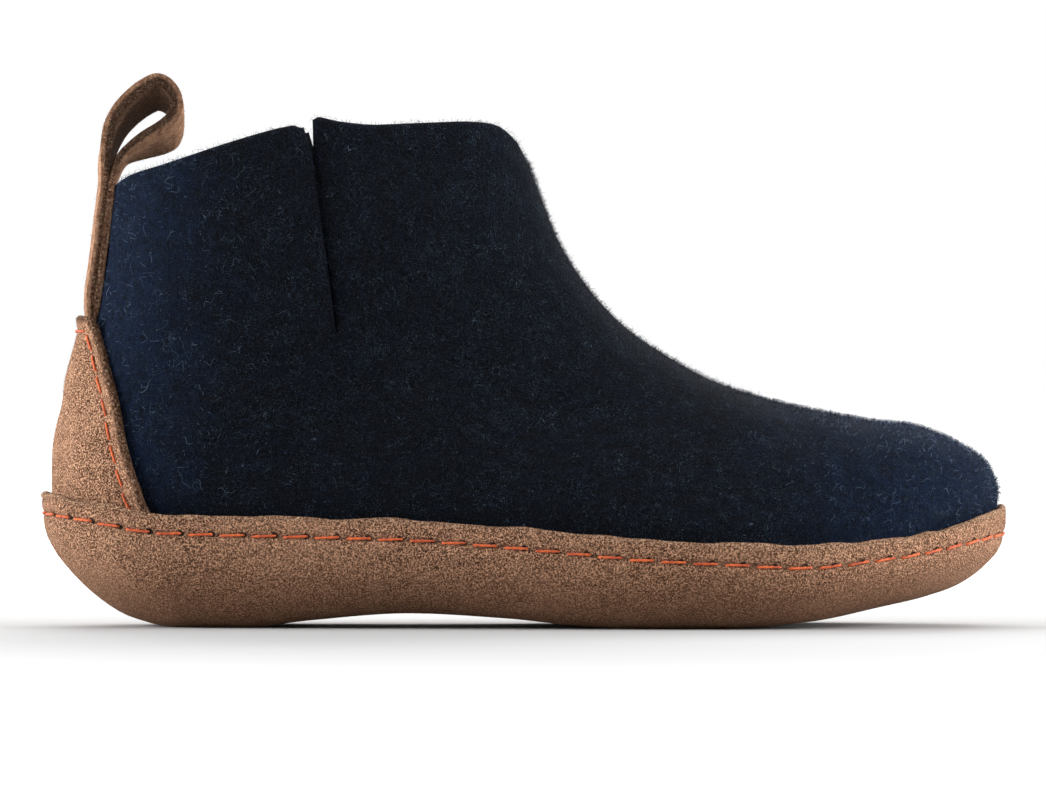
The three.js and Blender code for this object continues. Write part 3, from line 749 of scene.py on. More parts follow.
def from_middle(ring):
    """Level directions from the middle of the sole to each point of a ring."""
    way = np.stack([ring[:, 0] - LENGTH / 2, ring[:, 1], np.zeros(len(ring))], 1)
    return way / np.linalg.norm(way, axis=1, keepdims=True)


def sole_ring(turn, extra, height_at):
    """A ring of the sole: x goes (1 - cos turn) / 2 of the way from heel to toe, y is the middle plus or
    minus the outline's half width, and z is height_at(x); extra sets it in further than the curl does."""
    heel_in = HEEL_UNDERCUT * float(curl_heel(share_up(0.0, height_at(0.0)))) + extra
    toe_in = TOE_UNDERCUT * float(curl_toe(share_up(LENGTH, height_at(LENGTH)))) + extra
    x = mix(heel_in, LENGTH - toe_in, (1 - np.cos(turn)) / 2)
    z = height_at(x)
    side_in = SIDE_UNDERCUT * curl_side(share_up(x, z)) + extra
    y = plan_middle(x) - np.where(turn <= np.pi, 1, -1) * outline_half(x, heel_in, toe_in, side_in)
    return np.stack([x, y, z], 1)


def seam_line(extra=0.0, count=1440):
    """The seam on the sole's outer face as a closed ring, starting at the heel, with the run along it."""
    turn = 2 * np.pi * np.arange(count + 1) / count
    line = sole_ring(turn, extra, seam_height)
    return line, run_along(line)


def sole_surface(dent, pitch):
    """Rings of the cup sole from the middle of its underside out, up the wall, over the lip and down the
    inside to the floor of the cup. The wall is pinched by exp(-(height off the seam)^2) at the seam, and the
    lip above it puffs a little between the stitches."""
    around = 480
    turn = 2 * np.pi * np.arange(around) / around
    _, run = seam_line()
    stitches = round(run[-1] / pitch)
    own_pitch = run[-1] / stitches
    along = np.interp(turn, np.linspace(0, 2 * np.pi, len(run)), run)
    puff = np.abs(np.sin(np.pi * along / own_pitch))

    rings = []
    off_seam = []

    def add(ring, off):
        rings.append(ring)
        off_seam.append(np.broadcast_to(off, around))

    def wall_height(share):
        return lambda x: mix(underside(x), seam_height(x) - SEAM_MARGIN, share)

    foot = sole_ring(turn, 0.0, wall_height(0.0))
    for share in (0.0, 0.25, 0.5, 0.75, 0.93):
        inward = foot.copy()
        inward[:, 1] = mix(plan_middle(foot[:, 0]), foot[:, 1], share)
        add(inward, UNDERSIDE_MARK)
    for share in (0, 0.012, 0.03, 0.06, 0.1, 0.15, 0.21, 0.28, 0.36, 0.45, 0.55, 0.65, 0.75, 0.85, 0.94):
        ring = sole_ring(turn, 0.0, wall_height(share))
        add(ring, ring[:, 2] - seam_height(ring[:, 0]))
    for rise in (-2.6, -1.8, -1.2, -0.75, -0.4, 0, 0.4, 0.75, 1.2, 1.8, 2.6, 3.4, 4.2):
        pinch = dent * math.exp(-((rise / PINCH_REACH) ** 2))
        bulge = LIP_PUFF * math.exp(-(((rise - SEAM_MARGIN) / 1.6) ** 2))
        ring = sole_ring(turn, pinch, lambda x: seam_height(x) + rise)
        add(ring + from_middle(ring) * (bulge * puff)[:, None], float(rise))
    wavy = RIM_WAVES * waves(rings[-1], 21, 9)
    heel_lip = HEEL_LIP * (1 - ease(10, 45, rings[-1][:, 0]))
    for back, down in zip(LIP_ROWS["back"], LIP_ROWS["down"]):
        ring = sole_ring(turn, 0.0, lambda x: rim_at(x) - down)
        ring = ring - from_middle(ring) * (back - heel_lip * (1 - back / SUEDE_WALL))[:, None]
        ring[:, 2] += wavy
        add(ring, INSIDE_MARK)
    for share in (0.92, 0.8, 0.6, 0.4, 0.2, 0.0):
        add(sole_ring(turn, SUEDE_WALL, lambda x: mix(cup_floor(x), rim_at(x) - 1.2, share)), INSIDE_MARK)
    inner = rings[-1]
    for share in (0.7, 0.35, 0.0):
        ring = inner.copy()
        ring[:, 1] = mix(plan_middle(inner[:, 0]), inner[:, 1], share)
        add(ring, INSIDE_MARK)
    points = np.stack(rings).reshape(-1, 3)
    rows = len(rings)
    faces = grid_faces(rows, around, around=True)[:, ::-1]
    kept, faces = weld(points, faces)
    marks = {
        "seam_run": np.tile(along / own_pitch, rows)[kept],
        "seam_rise": np.concatenate(off_seam)[kept],
    }
    points = points[kept]
    return points, faces, marks


# Suede counter

# Front edge of the counter. at: share of its height over the waist's rim; reach: share of its reach;
# seam: how far inside the edge the seam runs
COUNTER_ROWS = table(
    "at reach seam",
    (0, 1, 5.4),
    (0.12, 0.88, 4.9),
    (0.34, 0.7, 4.2),
    (0.48, 0.59, 4),
    (0.64, 0.455, 3.8),
    (0.74, 0.35, 3.5),
    (0.83, 0.26, 3),
    (0.91, 0.17, 2.2),
    (1, 0.1, 1.4),
)
reach_share = column(COUNTER_ROWS, "reach")
counter_seam_in = column(COUNTER_ROWS, "seam")
COUNTER_LOW = float(cup_floor(HEEL_STATION)) + COUNTER_FOOT
COUNTER_SEAM_TOP = COUNTER_TOP - 4.5
HEEL_FULLNESS = 1.3
COUNTER_PINCH = 0.4
MARGIN_PUFF = 0.3
CUT_ROUNDING = 0.95


def tail_ply(z):
    """Thickness of a ply of the strap, skived from its full thickness to the tip under the counter."""
    skive = STRAP_TAIL / 2
    return mix(TAIL_TIP / 2, STRAP_THICKNESS, ease(COUNTER_TOP - skive, COUNTER_TOP + skive, z))


def over_tail(points):
    """How far the counter stands off the felt: a small gap, and over the strap's tail its two plies."""
    y, z = points[..., 1], points[..., 2]
    within = 1 - ease(STRAP_WIDTH / 2 + 1, STRAP_WIDTH, np.abs(y))
    tail = ease(COUNTER_TOP - 1.5 * STRAP_TAIL, COUNTER_TOP - 0.9 * STRAP_TAIL, z)
    return PATCH_GAP + within * tail * (2 * tail_ply(z) + PATCH_GAP)


def counter_reach(z):
    """How far the counter reaches forward of the centre back at a height."""
    return COUNTER_REACH * reach_share((z - WAIST_RIM) / (COUNTER_TOP - WAIST_RIM))


def counter_sheet(turn, z):
    """Points on the felt's own surface: x is the centre back plus the reach times turn squared, and y is the
    felt's half width there with the sign of turn."""
    x = back_at(z) + counter_reach(z) * turn**2
    return np.stack([x, np.sign(turn) * felt_half(x, z), z + 0 * x], axis=-1)


def patch_normals(points, flip=1):
    """Normals of a grid of points: the cross product of its two directions."""
    across = np.gradient(points, axis=1)
    along = np.gradient(points, axis=0)
    normal = flip * np.cross(across, along)
    return normal / np.maximum(np.linalg.norm(normal, axis=2, keepdims=True), 1e-12)


def counter_grid():
    """Grid of the counter: rows from its foot to its top, columns from one front edge round to the other."""
    turn = np.sin(np.linspace(-1, 1, 151) * np.pi / 2 * 0.999)
    turn = np.clip(mix(turn, np.linspace(-1, 1, 151), 0.55), -1, 1)
    top_share = 1 - (1 - np.linspace(0, 1, 100)) ** 1.35
    z = mix(COUNTER_LOW, COUNTER_TOP, top_share)
    return np.broadcast_arrays(turn[None, :], z[:, None])


def counter_surface():
    """Closed shell of the counter with rounded cut edges, a margin puffed outside the seam, and a pinch
    along it. Returns points, triangles and the mark for the cut edge."""
    turn, z = counter_grid()
    sheet = counter_sheet(turn, z)
    normal = patch_normals(sheet, -1)
    steps = np.linalg.norm(np.diff(sheet, axis=1), axis=2)
    run = np.concatenate([np.zeros((len(sheet), 1)), np.cumsum(steps, axis=1)], axis=1)
    to_side = np.minimum(run, run[:, -1:] - run)
    steps = np.linalg.norm(np.diff(sheet[::-1], axis=0), axis=2)
    to_top = np.concatenate([np.cumsum(steps, axis=0)[::-1], np.zeros((1, sheet.shape[1]))])
    edge_off = np.minimum(to_side, to_top)
    x_in = back_at(z) + counter_reach(z) - sheet[..., 0]
    up = (z - WAIST_RIM) / (COUNTER_TOP - WAIST_RIM)
    side_seam = x_in - counter_seam_in(up)
    top_seam = COUNTER_SEAM_TOP - z
    nearest = np.minimum(np.abs(side_seam), np.abs(top_seam))
    to_seam = np.where(top_seam < 0, -top_seam, nearest)
    pinch = COUNTER_PINCH * np.exp(-((to_seam / PINCH_REACH) ** 2))
    puff = MARGIN_PUFF * np.exp(-(((edge_off - 1.9) / 1.4) ** 2))
    puff = puff + HEEL_FULLNESS * np.exp(-(((z - 56) / 13) ** 2)) * ease(2, 14, edge_off)
    lumps = 0.12 * waves(sheet, 31, 12)
    rise = over_tail(sheet) + COUNTER_WALL - pinch + puff + lumps - rounding(edge_off, CUT_ROUNDING)
    outer = sheet + normal * rise[..., None]
    inner = sheet + normal * (over_tail(sheet) + rounding(edge_off, CUT_ROUNDING))[..., None]
    faces = grid_faces(*turn.shape)[:, ::-1]
    count = turn.size
    marks = {"cut_edge": np.tile((1 - ease(1.2, 2.6, edge_off)).ravel(), 2)}
    return np.vstack([outer.reshape(-1, 3), inner.reshape(-1, 3)]), wall_faces(faces, count), marks


def counter_seam_line():
    """The counter's seam: up one side inside the edge, round across the back under the top and down the
    other side, lying on the counter's outer face, with the outward normal at each point."""
    z_low = float(rim_at(24.0)) - 1.5
    z_up = np.linspace(z_low, COUNTER_SEAM_TOP, 160)
    up = (z_up - WAIST_RIM) / (COUNTER_TOP - WAIST_RIM)
    turn_up = np.sqrt(np.clip(1 - counter_seam_in(up) / counter_reach(z_up), 0, 1))
    turn_over = np.linspace(turn_up[-1], -turn_up[-1], 60)[1:-1]
    turn = np.concatenate([turn_up, turn_over, -turn_up[::-1]])
    z = np.concatenate([z_up, np.full(len(turn_over), COUNTER_SEAM_TOP), z_up[::-1]])
    line = counter_sheet(turn, z)
    step = 1e-2
    sideways = counter_sheet(turn + step, z) - counter_sheet(turn - step, z)
    upwards = counter_sheet(turn, z + step) - counter_sheet(turn, z - step)
    normal = np.cross(upwards, sideways)
    normal /= np.linalg.norm(normal, axis=1, keepdims=True)
    normal *= np.sign((normal * (line - [60.0, 0.0, 60.0])).sum(axis=1, keepdims=True))
    return line + normal * (over_tail(line) + COUNTER_WALL - 0.35)[:, None], normal


# Pull loop

# Run of the strap above the collar. forward: share of its reach; up: share of its height
LOOP_ROWS = table(
    "forward up",
    (0, 0.2),
    (0.01, 0.38),
    (0.06, 0.55),
    (0.16, 0.7),
    (0.31, 0.83),
    (0.5, 0.94),
    (0.69, 1),
    (0.86, 0.95),
    (0.97, 0.84),
    (0.99, 0.71),
    (0.92, 0.58),
    (0.76, 0.48),
    (0.55, 0.39),
    (0.36, 0.3),
    (0.24, 0.23),
)
CROTCH = COLLAR_BACK_HEIGHT
LOOP_FULLNESS = 0.65
LOOP_SHIFT = 0.5
STRAP_CORNER = 0.45
OUTER_PLY = COLLAR_BACK - PATCH_GAP - 1.5 * STRAP_THICKNESS


def back_of(y, z):
    """Station of the felt near the heel at a distance from its middle, found by halving."""
    low = back_at(z)
    high = low + HEEL_BACK_REACH
    for _ in range(30):
        middle = (low + high) / 2
        short = felt_half(middle, z) < np.abs(y)
        low, high = np.where(short, middle, low), np.where(short, high, middle)
    return (low + high) / 2


def strap_path():
    """Middle of the strap in the side view: up the outer ply, round the loop and down the inner ply."""
    z_up = np.linspace(COUNTER_TOP - STRAP_TAIL, CROTCH, 14)
    outer = np.stack([back_at(z_up) - PATCH_GAP - 1.5 * tail_ply(z_up), z_up], 1)
    forward = OUTER_PLY + LOOP_ROWS["forward"] * LOOP_REACH
    loop = np.stack([forward, CROTCH + LOOP_ROWS["up"] * LOOP_HEIGHT], 1)
    z_down = np.linspace(CROTCH + 0.5, COUNTER_TOP - STRAP_TAIL, 14)
    inner = np.stack([back_at(np.minimum(z_down, CROTCH)) - PATCH_GAP - 0.5 * tail_ply(z_down), z_down], 1)
    line = curve_through(np.vstack([outer, loop, inner]), 0.5, 24)
    return spaced(line, np.linspace(0, 1, 240))


def strap_surface():
    """Strap as one closed ribbon: a rectangle with round corners carried along the path, wrapped round the
    heel below the collar. In the free loop it is thicker towards the inside and slants down across its width."""
    path = strap_path()
    way = np.gradient(path, axis=0)
    way /= np.linalg.norm(way, axis=1, keepdims=True)
    sideways = np.stack([-way[:, 1], way[:, 0]], 1)
    loose = ease(CROTCH + 2, CROTCH + 14, path[:, 1])
    thin = tail_ply(path[:, 1])
    ply = thin * (1 + LOOP_FULLNESS * loose)
    path = path - sideways * ((ply - thin) / 2 + LOOP_SHIFT * loose)[:, None]
    half = STRAP_WIDTH / 2
    soft = STRAP_CORNER
    flat = np.linspace(-1, 1, 15)
    bend = np.linspace(0, np.pi / 2, 5)
    across = np.concatenate(
        [
            flat * (half - soft),
            half - soft + soft * np.sin(bend[1:]),
            half - soft + soft * np.cos(bend[1:]),
            -flat[1:] * (half - soft),
            -(half - soft) - soft * np.sin(bend[1:]),
            -(half - soft) - soft * np.cos(bend[1:-1]),
        ]
    )
    thick = np.concatenate(
        [
            np.full(15, 1.0),
            np.cos(bend[1:]) * 0.5 + 0.5,
            0.5 - 0.5 * np.sin(bend[1:]),
            np.zeros(14),
            0.5 - 0.5 * np.cos(bend[1:]),
            0.5 + 0.5 * np.sin(bend[1:-1]),
        ]
    )
    crown = 1 + 0.1 * (1 - (across / half) ** 2)
    offset = (thick - 0.5) * 2 * (ply[:, None] / 2 - 0.04) * crown
    x = path[:, :1] + sideways[:, :1] * offset
    z = path[:, 1:] + sideways[:, 1:] * offset
    y = np.broadcast_to(across, x.shape)
    free = ease(CROTCH + STRAP_THICKNESS, CROTCH + 0.6 * LOOP_HEIGHT, z)
    held = np.minimum(z, CROTCH)
    wrap = (back_of(y, held) - back_at(held)) * (1 - free)
    points = np.stack([x + wrap, y, z - math.tan(LOOP_LEAN) * (y + half) * free], axis=-1)
    points += (0.1 * waves(points, 41, 8))[..., None] * np.array([1.0, 0.4, 0.4])
    rows, columns = x.shape
    faces = grid_faces(rows, columns, around=True)
    tip = np.arange(1, columns - 1)
    start = np.stack([np.zeros_like(tip), tip + 1, tip], 1)
    last = (rows - 1) * columns
    end = np.stack([np.full_like(tip, last), last + tip, last + tip + 1], 1)
    faces = np.concatenate([faces, start, end])
    cut = 1 - ease(0.0, 0.7, half - np.abs(y))
    flesh = np.where(thick > 0.5, 1.0, 0.0) + np.zeros_like(x)
    # Painted shadow: marks the inner face of the free loop, which the suede material darkens.
    inside = ease(CROTCH + 1, CROTCH + 6, z) * (1 - flesh)
    marks = {"cut_edge": cut.ravel(), "flesh": flesh.ravel(), "inside": inside.ravel()}
    return points.reshape(-1, 3), faces, marks


# Insole


def insole_surface():
    """Felt insole: the felt's own outline on the floor of the cup, set in by one and a half walls, with a
    rounded top edge; its top dips a little under heel and ball."""
    around = 300
    turn = 2 * np.pi * np.arange(around) / around
    x = mix(HEEL_CORNER[0], TOP_LINE[0, 0], (1 - np.cos(turn)) / 2)
    z = edge_at(x)
    y = felt_middle(x, z) - np.where(turn <= np.pi, 1, -1) * felt_half(x, z)
    outline = np.stack([x, y], 1)
    way = np.roll(outline, -1, axis=0) - np.roll(outline, 1, axis=0)
    way /= np.linalg.norm(way, axis=1, keepdims=True)
    inward = np.stack([-way[:, 1], way[:, 0]], 1)
    top = INSOLE_THICKNESS
    rings = []
    profile = ((0, 0), (0, 0.35 * top), (0.05, 0.7 * top), (0.35, 0.9 * top), (1.1, top))
    for inset, height in profile:
        at = outline + inward * (1.5 * FELT_WALL + inset)
        rings.append(np.column_stack([at, cup_floor(at[:, 0]) + GAP + height]))
    upper_ring = rings[-1]
    for share in (0.9, 0.75, 0.55, 0.3, 0.0):
        ring = upper_ring.copy()
        ring[:, 1] = mix(plan_middle(ring[:, 0]), ring[:, 1], share)
        worn = np.exp(-(((ring[:, 0] - 45) / 28) ** 2)) + np.exp(-(((ring[:, 0] - 195) / 36) ** 2))
        ring[:, 2] -= 0.5 * worn * (1 - share**2)
        rings.append(ring)
    lower = rings[0].copy()
    lower[:, 1] = plan_middle(lower[:, 0])
    rings.insert(0, lower)
    points = np.stack(rings).reshape(-1, 3)
    faces = grid_faces(len(rings), around, around=True)[:, ::-1]
    kept, faces = weld(points, faces)
    return points[kept], faces


# Stitches, nap and loose fibres


def stitch_tubes(line, normal, pitch, gap_length, radius, slant):
    """Hand stitches along a line: each is a two-ply thread whose section turns with its run. Its centre
    arches to its lift at the middle and dives into a hole at each end: (1 - |2u - 1|^9) of the way up from
    below the surface. The section's radius is radius (0.82 + 0.2 cos(2 angle - twist)), and the twist makes a
    full turn every 4.2 radii."""
    segments, sides = 30, 8
    run = run_along(line)
    count = round(run[-1] / pitch)
    own = run[-1] / count
    u = np.linspace(0, 1, segments + 1)
    at = (np.arange(count)[:, None] * own) + gap_length / 2 + u * (own - gap_length)
    centre = np.stack([np.interp(at, run, line[:, i]) for i in range(3)], axis=-1)
    out = np.stack([np.interp(at, run, normal[:, i]) for i in range(3)], axis=-1)
    way = np.gradient(centre, axis=1)
    way /= np.linalg.norm(way, axis=-1, keepdims=True)
    out -= way * (out * way).sum(axis=-1, keepdims=True)
    out /= np.linalg.norm(out, axis=-1, keepdims=True)
    side = np.cross(out, way)
    dice = np.random.default_rng(51)
    own_slant = slant * dice.uniform(0.6, 1.4, (count, 1))
    own_lift = radius * dice.uniform(0.75, 1.15, (count, 1))
    ends = np.abs(2 * u - 1)
    height = mix(-1.7 * radius, own_lift, 1 - ends**9)
    centre = centre + out * height[..., None] + side * (own_slant * (u - 0.5))[..., None]
    angle = 2 * np.pi * np.arange(sides) / sides
    twist = 2 * np.pi * at[..., None] / (4.2 * radius)
    size = radius * (0.82 + 0.2 * np.cos(2 * angle - twist)) * np.sqrt(1 - ends**16)[:, None]
    section = out[:, :, None] * np.cos(angle)[:, None] + side[:, :, None] * np.sin(angle)[:, None]
    points = (centre[:, :, None] + section * size[..., None]).reshape(-1, 3)
    one = grid_faces(segments + 1, sides, around=True)
    faces = (one[None] + (np.arange(count) * (segments + 1) * sides)[:, None, None]).reshape(-1, 3)
    kept, faces = weld(points, faces)
    return points[kept], faces


def scatter(points, normals, faces, count, seed, weight):
    """Random places on a surface, as likely as a triangle's area times the mean weight of its corners."""
    dice = np.random.default_rng(seed)
    a, b, c = (points[faces[:, i]] for i in range(3))
    area = np.linalg.norm(np.cross(b - a, c - a), axis=1) * weight[faces].mean(axis=1)
    pick = dice.choice(len(faces), count, p=area / area.sum())
    u, v = dice.random((2, count, 1))
    u, v = np.where(u + v > 1, 1 - u, u), np.where(u + v > 1, 1 - v, v)
    corners = [faces[pick, i] for i in range(3)]
    place = points[corners[0]] * (1 - u - v) + points[corners[1]] * u + points[corners[2]] * v
    out = normals[corners[0]] * (1 - u - v) + normals[corners[1]] * u + normals[corners[2]] * v
    out /= np.linalg.norm(out, axis=1, keepdims=True)
    return place, out, dice


def hair_tubes(centres, radii):
    """Three-sided tubes along lines of centres, with a radius for each ring, closed at both ends."""
    way = np.gradient(centres, axis=1)
    way /= np.maximum(np.linalg.norm(way, axis=-1, keepdims=True), 1e-9)
    helper = np.where(np.abs(way[..., 2:]) < 0.8, [0.0, 0.0, 1.0], [1.0, 0.0, 0.0])
    side = np.cross(way, helper)
    side /= np.linalg.norm(side, axis=-1, keepdims=True)
    other = np.cross(way, side)
    angle = 2 * np.pi * np.arange(3) / 3
    section = side[:, :, None] * np.cos(angle)[:, None] + other[:, :, None] * np.sin(angle)[:, None]
    ring = centres[:, :, None] + section * radii[..., None, None]
    count, rings = centres.shape[:2]
    one = grid_faces(rings, 3, around=True)
    last = 3 * (rings - 1)
    one = np.concatenate([one, [[0, 2, 1], [last, last + 1, last + 2]]])
    faces = (one[None] + (np.arange(count) * rings * 3)[:, None, None]).reshape(-1, 3)
    return ring.reshape(-1, 3), faces


def short_hairs(place, out, dice, length, radius, spread):
    """Short bent hairs: each leans off the normal by a random part of spread, bends halfway, and thins."""
    count = len(place)
    long = length * dice.uniform(0.4, 1.0, (count, 1)) * dice.uniform(0.7, 1.3, (count, 1))
    lean = out + spread * dice.normal(size=(count, 3))
    lean /= np.linalg.norm(lean, axis=1, keepdims=True)
    bent = lean + 0.7 * dice.normal(size=(count, 3))
    bent /= np.linalg.norm(bent, axis=1, keepdims=True)
    start = place - 0.12 * out
    middle = start + lean * long * 0.55
    centres = np.stack([start, middle, middle + bent * long * 0.45], axis=1)
    radii = np.broadcast_to(radius * np.array([1.0, 0.75, 0.2]), (count, 3))
    return centres, radii


def curly_fibres(place, out, dice, length, radius):
    """Loose wool fibres lying on the felt: each runs along the surface for its length, swings from side to
    side by sin(turns s), and rises off the surface by sin(pi s)."""
    count, rings = len(place), 6
    s = np.linspace(0, 1, rings)[None, :, None]
    helper = dice.normal(size=(count, 3))
    along = np.cross(out, helper)
    along /= np.linalg.norm(along, axis=1, keepdims=True)
    side = np.cross(out, along)
    long = length * dice.uniform(0.5, 1.4, (count, 1, 1))
    swing = long * dice.uniform(0.1, 0.38, (count, 1, 1))
    turns = dice.uniform(2.5, 8.5, (count, 1, 1))
    phase = dice.uniform(0, 2 * np.pi, (count, 1, 1))
    rise = dice.uniform(0.15, 1.1, (count, 1, 1)) * np.sin(np.pi * s) + 0.02
    centres = (
        place[:, None]
        + along[:, None] * long * (s - 0.5)
        + side[:, None] * swing * np.sin(turns * s + phase)
        + out[:, None] * rise
    )
    radii = np.broadcast_to(radius * np.array([0.5, 1, 1, 1, 1, 0.4]), (count, rings))
    return centres, radii


def make_hairs(name, centres, radii, dice, finish, slot):
    """Makes hairs one piece, each hair with its own random tone."""
    points, faces = hair_tubes(centres, radii)
    tone = np.repeat(dice.random(len(centres)), 3 * centres.shape[1])
    make_piece(name, points, faces, finish, marks={"tone": tone})


def make_nap(name, surface, count, seed, weight, hair, finish, slot):
    """Scatters short hairs over a surface; hair is their length, radius and spread."""
    spot, out, dice = scatter(*surface, count, seed, weight)
    make_hairs(name, *short_hairs(spot, out, dice, *hair), dice, finish, slot)


# Finishes


class Finish:
    """A material under construction: nodes are added in order and joined as they are made."""

    def __init__(self, name, **sockets):
        self.material = bpy.data.materials.new(name)
        self.material.use_nodes = True
        self.tree = self.material.node_tree
        self.surface = self.tree.nodes["Principled BSDF"]
        for socket, value in sockets.items():
            self.surface.inputs[socket.replace("_", " ")].default_value = value
        place = self.add("ShaderNodeTexCoord").outputs["Object"]
        scaled = self.add("ShaderNodeVectorMath", {"operation": "SCALE"}, {0: place, "Scale": 1 / MM})
        self.place = scaled.outputs["Vector"]

    def add(self, kind, settings=None, inputs=None):
        """Adds a node, sets its properties, and joins or fills its inputs."""
        node = self.tree.nodes.new(kind)
        for key, value in (settings or {}).items():
            setattr(node, key, value)
        for key, value in (inputs or {}).items():
            if isinstance(value, bpy.types.NodeSocket):
                self.tree.links.new(value, node.inputs[key])
            else:
                node.inputs[key].default_value = value
        return node

    def stretched(self, x, y, z):
        """The place in millimetres, scaled along each axis, for a grain that runs one way."""
        made = self.add("ShaderNodeVectorMath", {"operation": "MULTIPLY"}, {0: self.place, 1: (x, y, z)})
        return made.outputs["Vector"]

    def noise(self, scale, detail=2.0, distortion=0.0, place=None, roughness=0.5):
        """Noise with cells of about 1 / scale millimetres, from 0 to 1."""
        made = self.add(
            "ShaderNodeTexNoise",
            None,
            {
                "Vector": place or self.place,
                "Scale": scale,
                "Detail": detail,
                "Roughness": roughness,
                "Distortion": distortion,
            },
        )
        return made.outputs["Fac"]

    def maths(self, operation, a, b=0.0, c=0.0, clamp=False):
        """One arithmetic step."""
        made = self.add("ShaderNodeMath", {"operation": operation, "use_clamp": clamp}, {0: a, 1: b, 2: c})
        return made.outputs[0]

    def fit(self, value, low, high, to_low=0.0, to_high=1.0):
        """Carries low to high over to to_low to to_high, smoothly and without passing them."""
        made = self.add(
            "ShaderNodeMapRange",
            {"interpolation_type": "SMOOTHSTEP"},
            {"Value": value, "From Min": low, "From Max": high, "To Min": to_low, "To Max": to_high},
        )
        return made.outputs["Result"]

    def blend(self, share, low, high):
        """Mixes two colours by a share."""
        made = self.add("ShaderNodeMix", {"data_type": "RGBA"}, {0: share, 6: low, 7: high})
        return made.outputs[2]

    def mark(self, name):
        """A value that the mesh carries at its points."""
        return self.add("ShaderNodeAttribute", {"attribute_name": name}).outputs["Fac"]

    def axis(self, which):
        """One coordinate of the place in millimetres."""
        return self.add("ShaderNodeSeparateXYZ", None, {0: self.place}).outputs[which]

    def threads(self, scale, width, distortion):
        """Thin curly lines: 1 where distorted noise passes its middle value, fading out over width."""
        off = self.maths("SUBTRACT", self.noise(scale, 1.0, distortion), 0.5)
        return self.fit(self.maths("ABSOLUTE", off), 0.0, width, 1.0, 0.0)

    def colour(self, value):
        """Joins or sets the surface's own colour."""
        self.tree.links.new(value, self.surface.inputs["Base Color"])

    def bump(self, *layers):
        """Stacks bumps: each layer is a height from 0 to 1 and its depth in millimetres."""
        normal = None
        for height, depth in layers:
            inputs = {"Height": height, "Distance": depth * MM, "Strength": 1.0}
            if normal is not None:
                inputs["Normal"] = normal
            normal = self.add("ShaderNodeBump", None, inputs).outputs["Normal"]
        self.tree.links.new(normal, self.surface.inputs["Normal"])


def paint(red, green, blue):
    """A screen colour of 0 to 255 as a linear one: ((c + 0.055) / 1.055)^2.4 for all but the darkest."""
    shares = [c / 255 for c in (red, green, blue)]
    return (*[c / 12.92 if c < 0.04 else ((c + 0.055) / 1.055) ** 2.4 for c in shares], 1.0)


def felt_finish(settings):
    """Deep blue wool felt: darker and bluer patches by place, painted highlight that turns it bluer towards the
    toe and heel ends, fibre streaks that run up the shaft and along the foot, thin curly fibres of a paler blue,
    and a rough matt surface."""
    f = Finish("navy_wool_felt", Roughness=1.0, Specular_IOR_Level=0.12)
    f.surface.inputs["Sheen Weight"].default_value = 0.03
    f.surface.inputs["Sheen Roughness"].default_value = 0.4
    f.surface.inputs["Sheen Tint"].default_value = settings.nap_colour
    x, z = f.axis("X"), f.axis("Z")
    # Painted highlight: the toe and heel ends turn bluer, as if lit; the patches and clumps below are the felt's
    # own tone.
    toe = f.fit(x, 40, 125)
    heel = f.fit(x, -70, -125)
    high = f.fit(z, 60, 100)
    patch = f.noise(0.028, 3.0, 0.6)
    clumps = f.noise(0.11, 3.0, 0.8)
    ends = f.maths("MAXIMUM", toe, heel)
    blueness_and_end_highlight = f.maths("ADD", f.maths("MULTIPLY", ends, 0.55), f.maths("MULTIPLY", patch, 0.28))
    blueness_and_end_highlight = f.maths("ADD", blueness_and_end_highlight, f.maths("MULTIPLY", f.maths("SUBTRACT", clumps, 0.5), 0.6))
    base = f.blend(f.fit(blueness_and_end_highlight, 0.15, 0.75), settings.deep_colour, settings.blue_colour)
    upright = f.noise(1.0, 3.0, 0.5, f.stretched(1.1, 1.1, 0.12))
    level = f.noise(1.0, 3.0, 0.5, f.stretched(0.12, 0.5, 1.1))
    streak = f.add("ShaderNodeMix", {"data_type": "FLOAT"}, {0: high, 2: level, 3: upright}).outputs[0]
    base = f.blend(f.fit(streak, 0.3, 0.75, 0.0, 0.3), base, settings.blue_colour)
    dark = f.noise(0.6, 3.0, 0.4)
    base = f.blend(f.fit(dark, 0.42, 0.7, 0.0, 0.75), base, settings.deep_colour)
    long_hairs = f.threads(0.3, 0.012, 3.6)
    short_hairs = f.threads(0.85, 0.03, 2.4)
    scarce = f.fit(f.noise(0.16, 2.0), 0.42, 0.66)
    hairs = f.maths("MAXIMUM", f.maths("MULTIPLY", long_hairs, 0.3), f.maths("MULTIPLY", short_hairs, 0.06))
    hairs = f.maths("MULTIPLY", hairs, f.maths("ADD", 0.45, f.maths("MULTIPLY", scarce, 0.55)))
    base = f.blend(hairs, base, settings.fibre_colour)
    f.colour(base)
    grain = f.noise(1.9, 3.0, 0.3)
    f.bump((streak, 0.5), (clumps, 0.7), (f.maths("MAXIMUM", long_hairs, short_hairs), 0.12), (grain, 0.7))
    return f.material


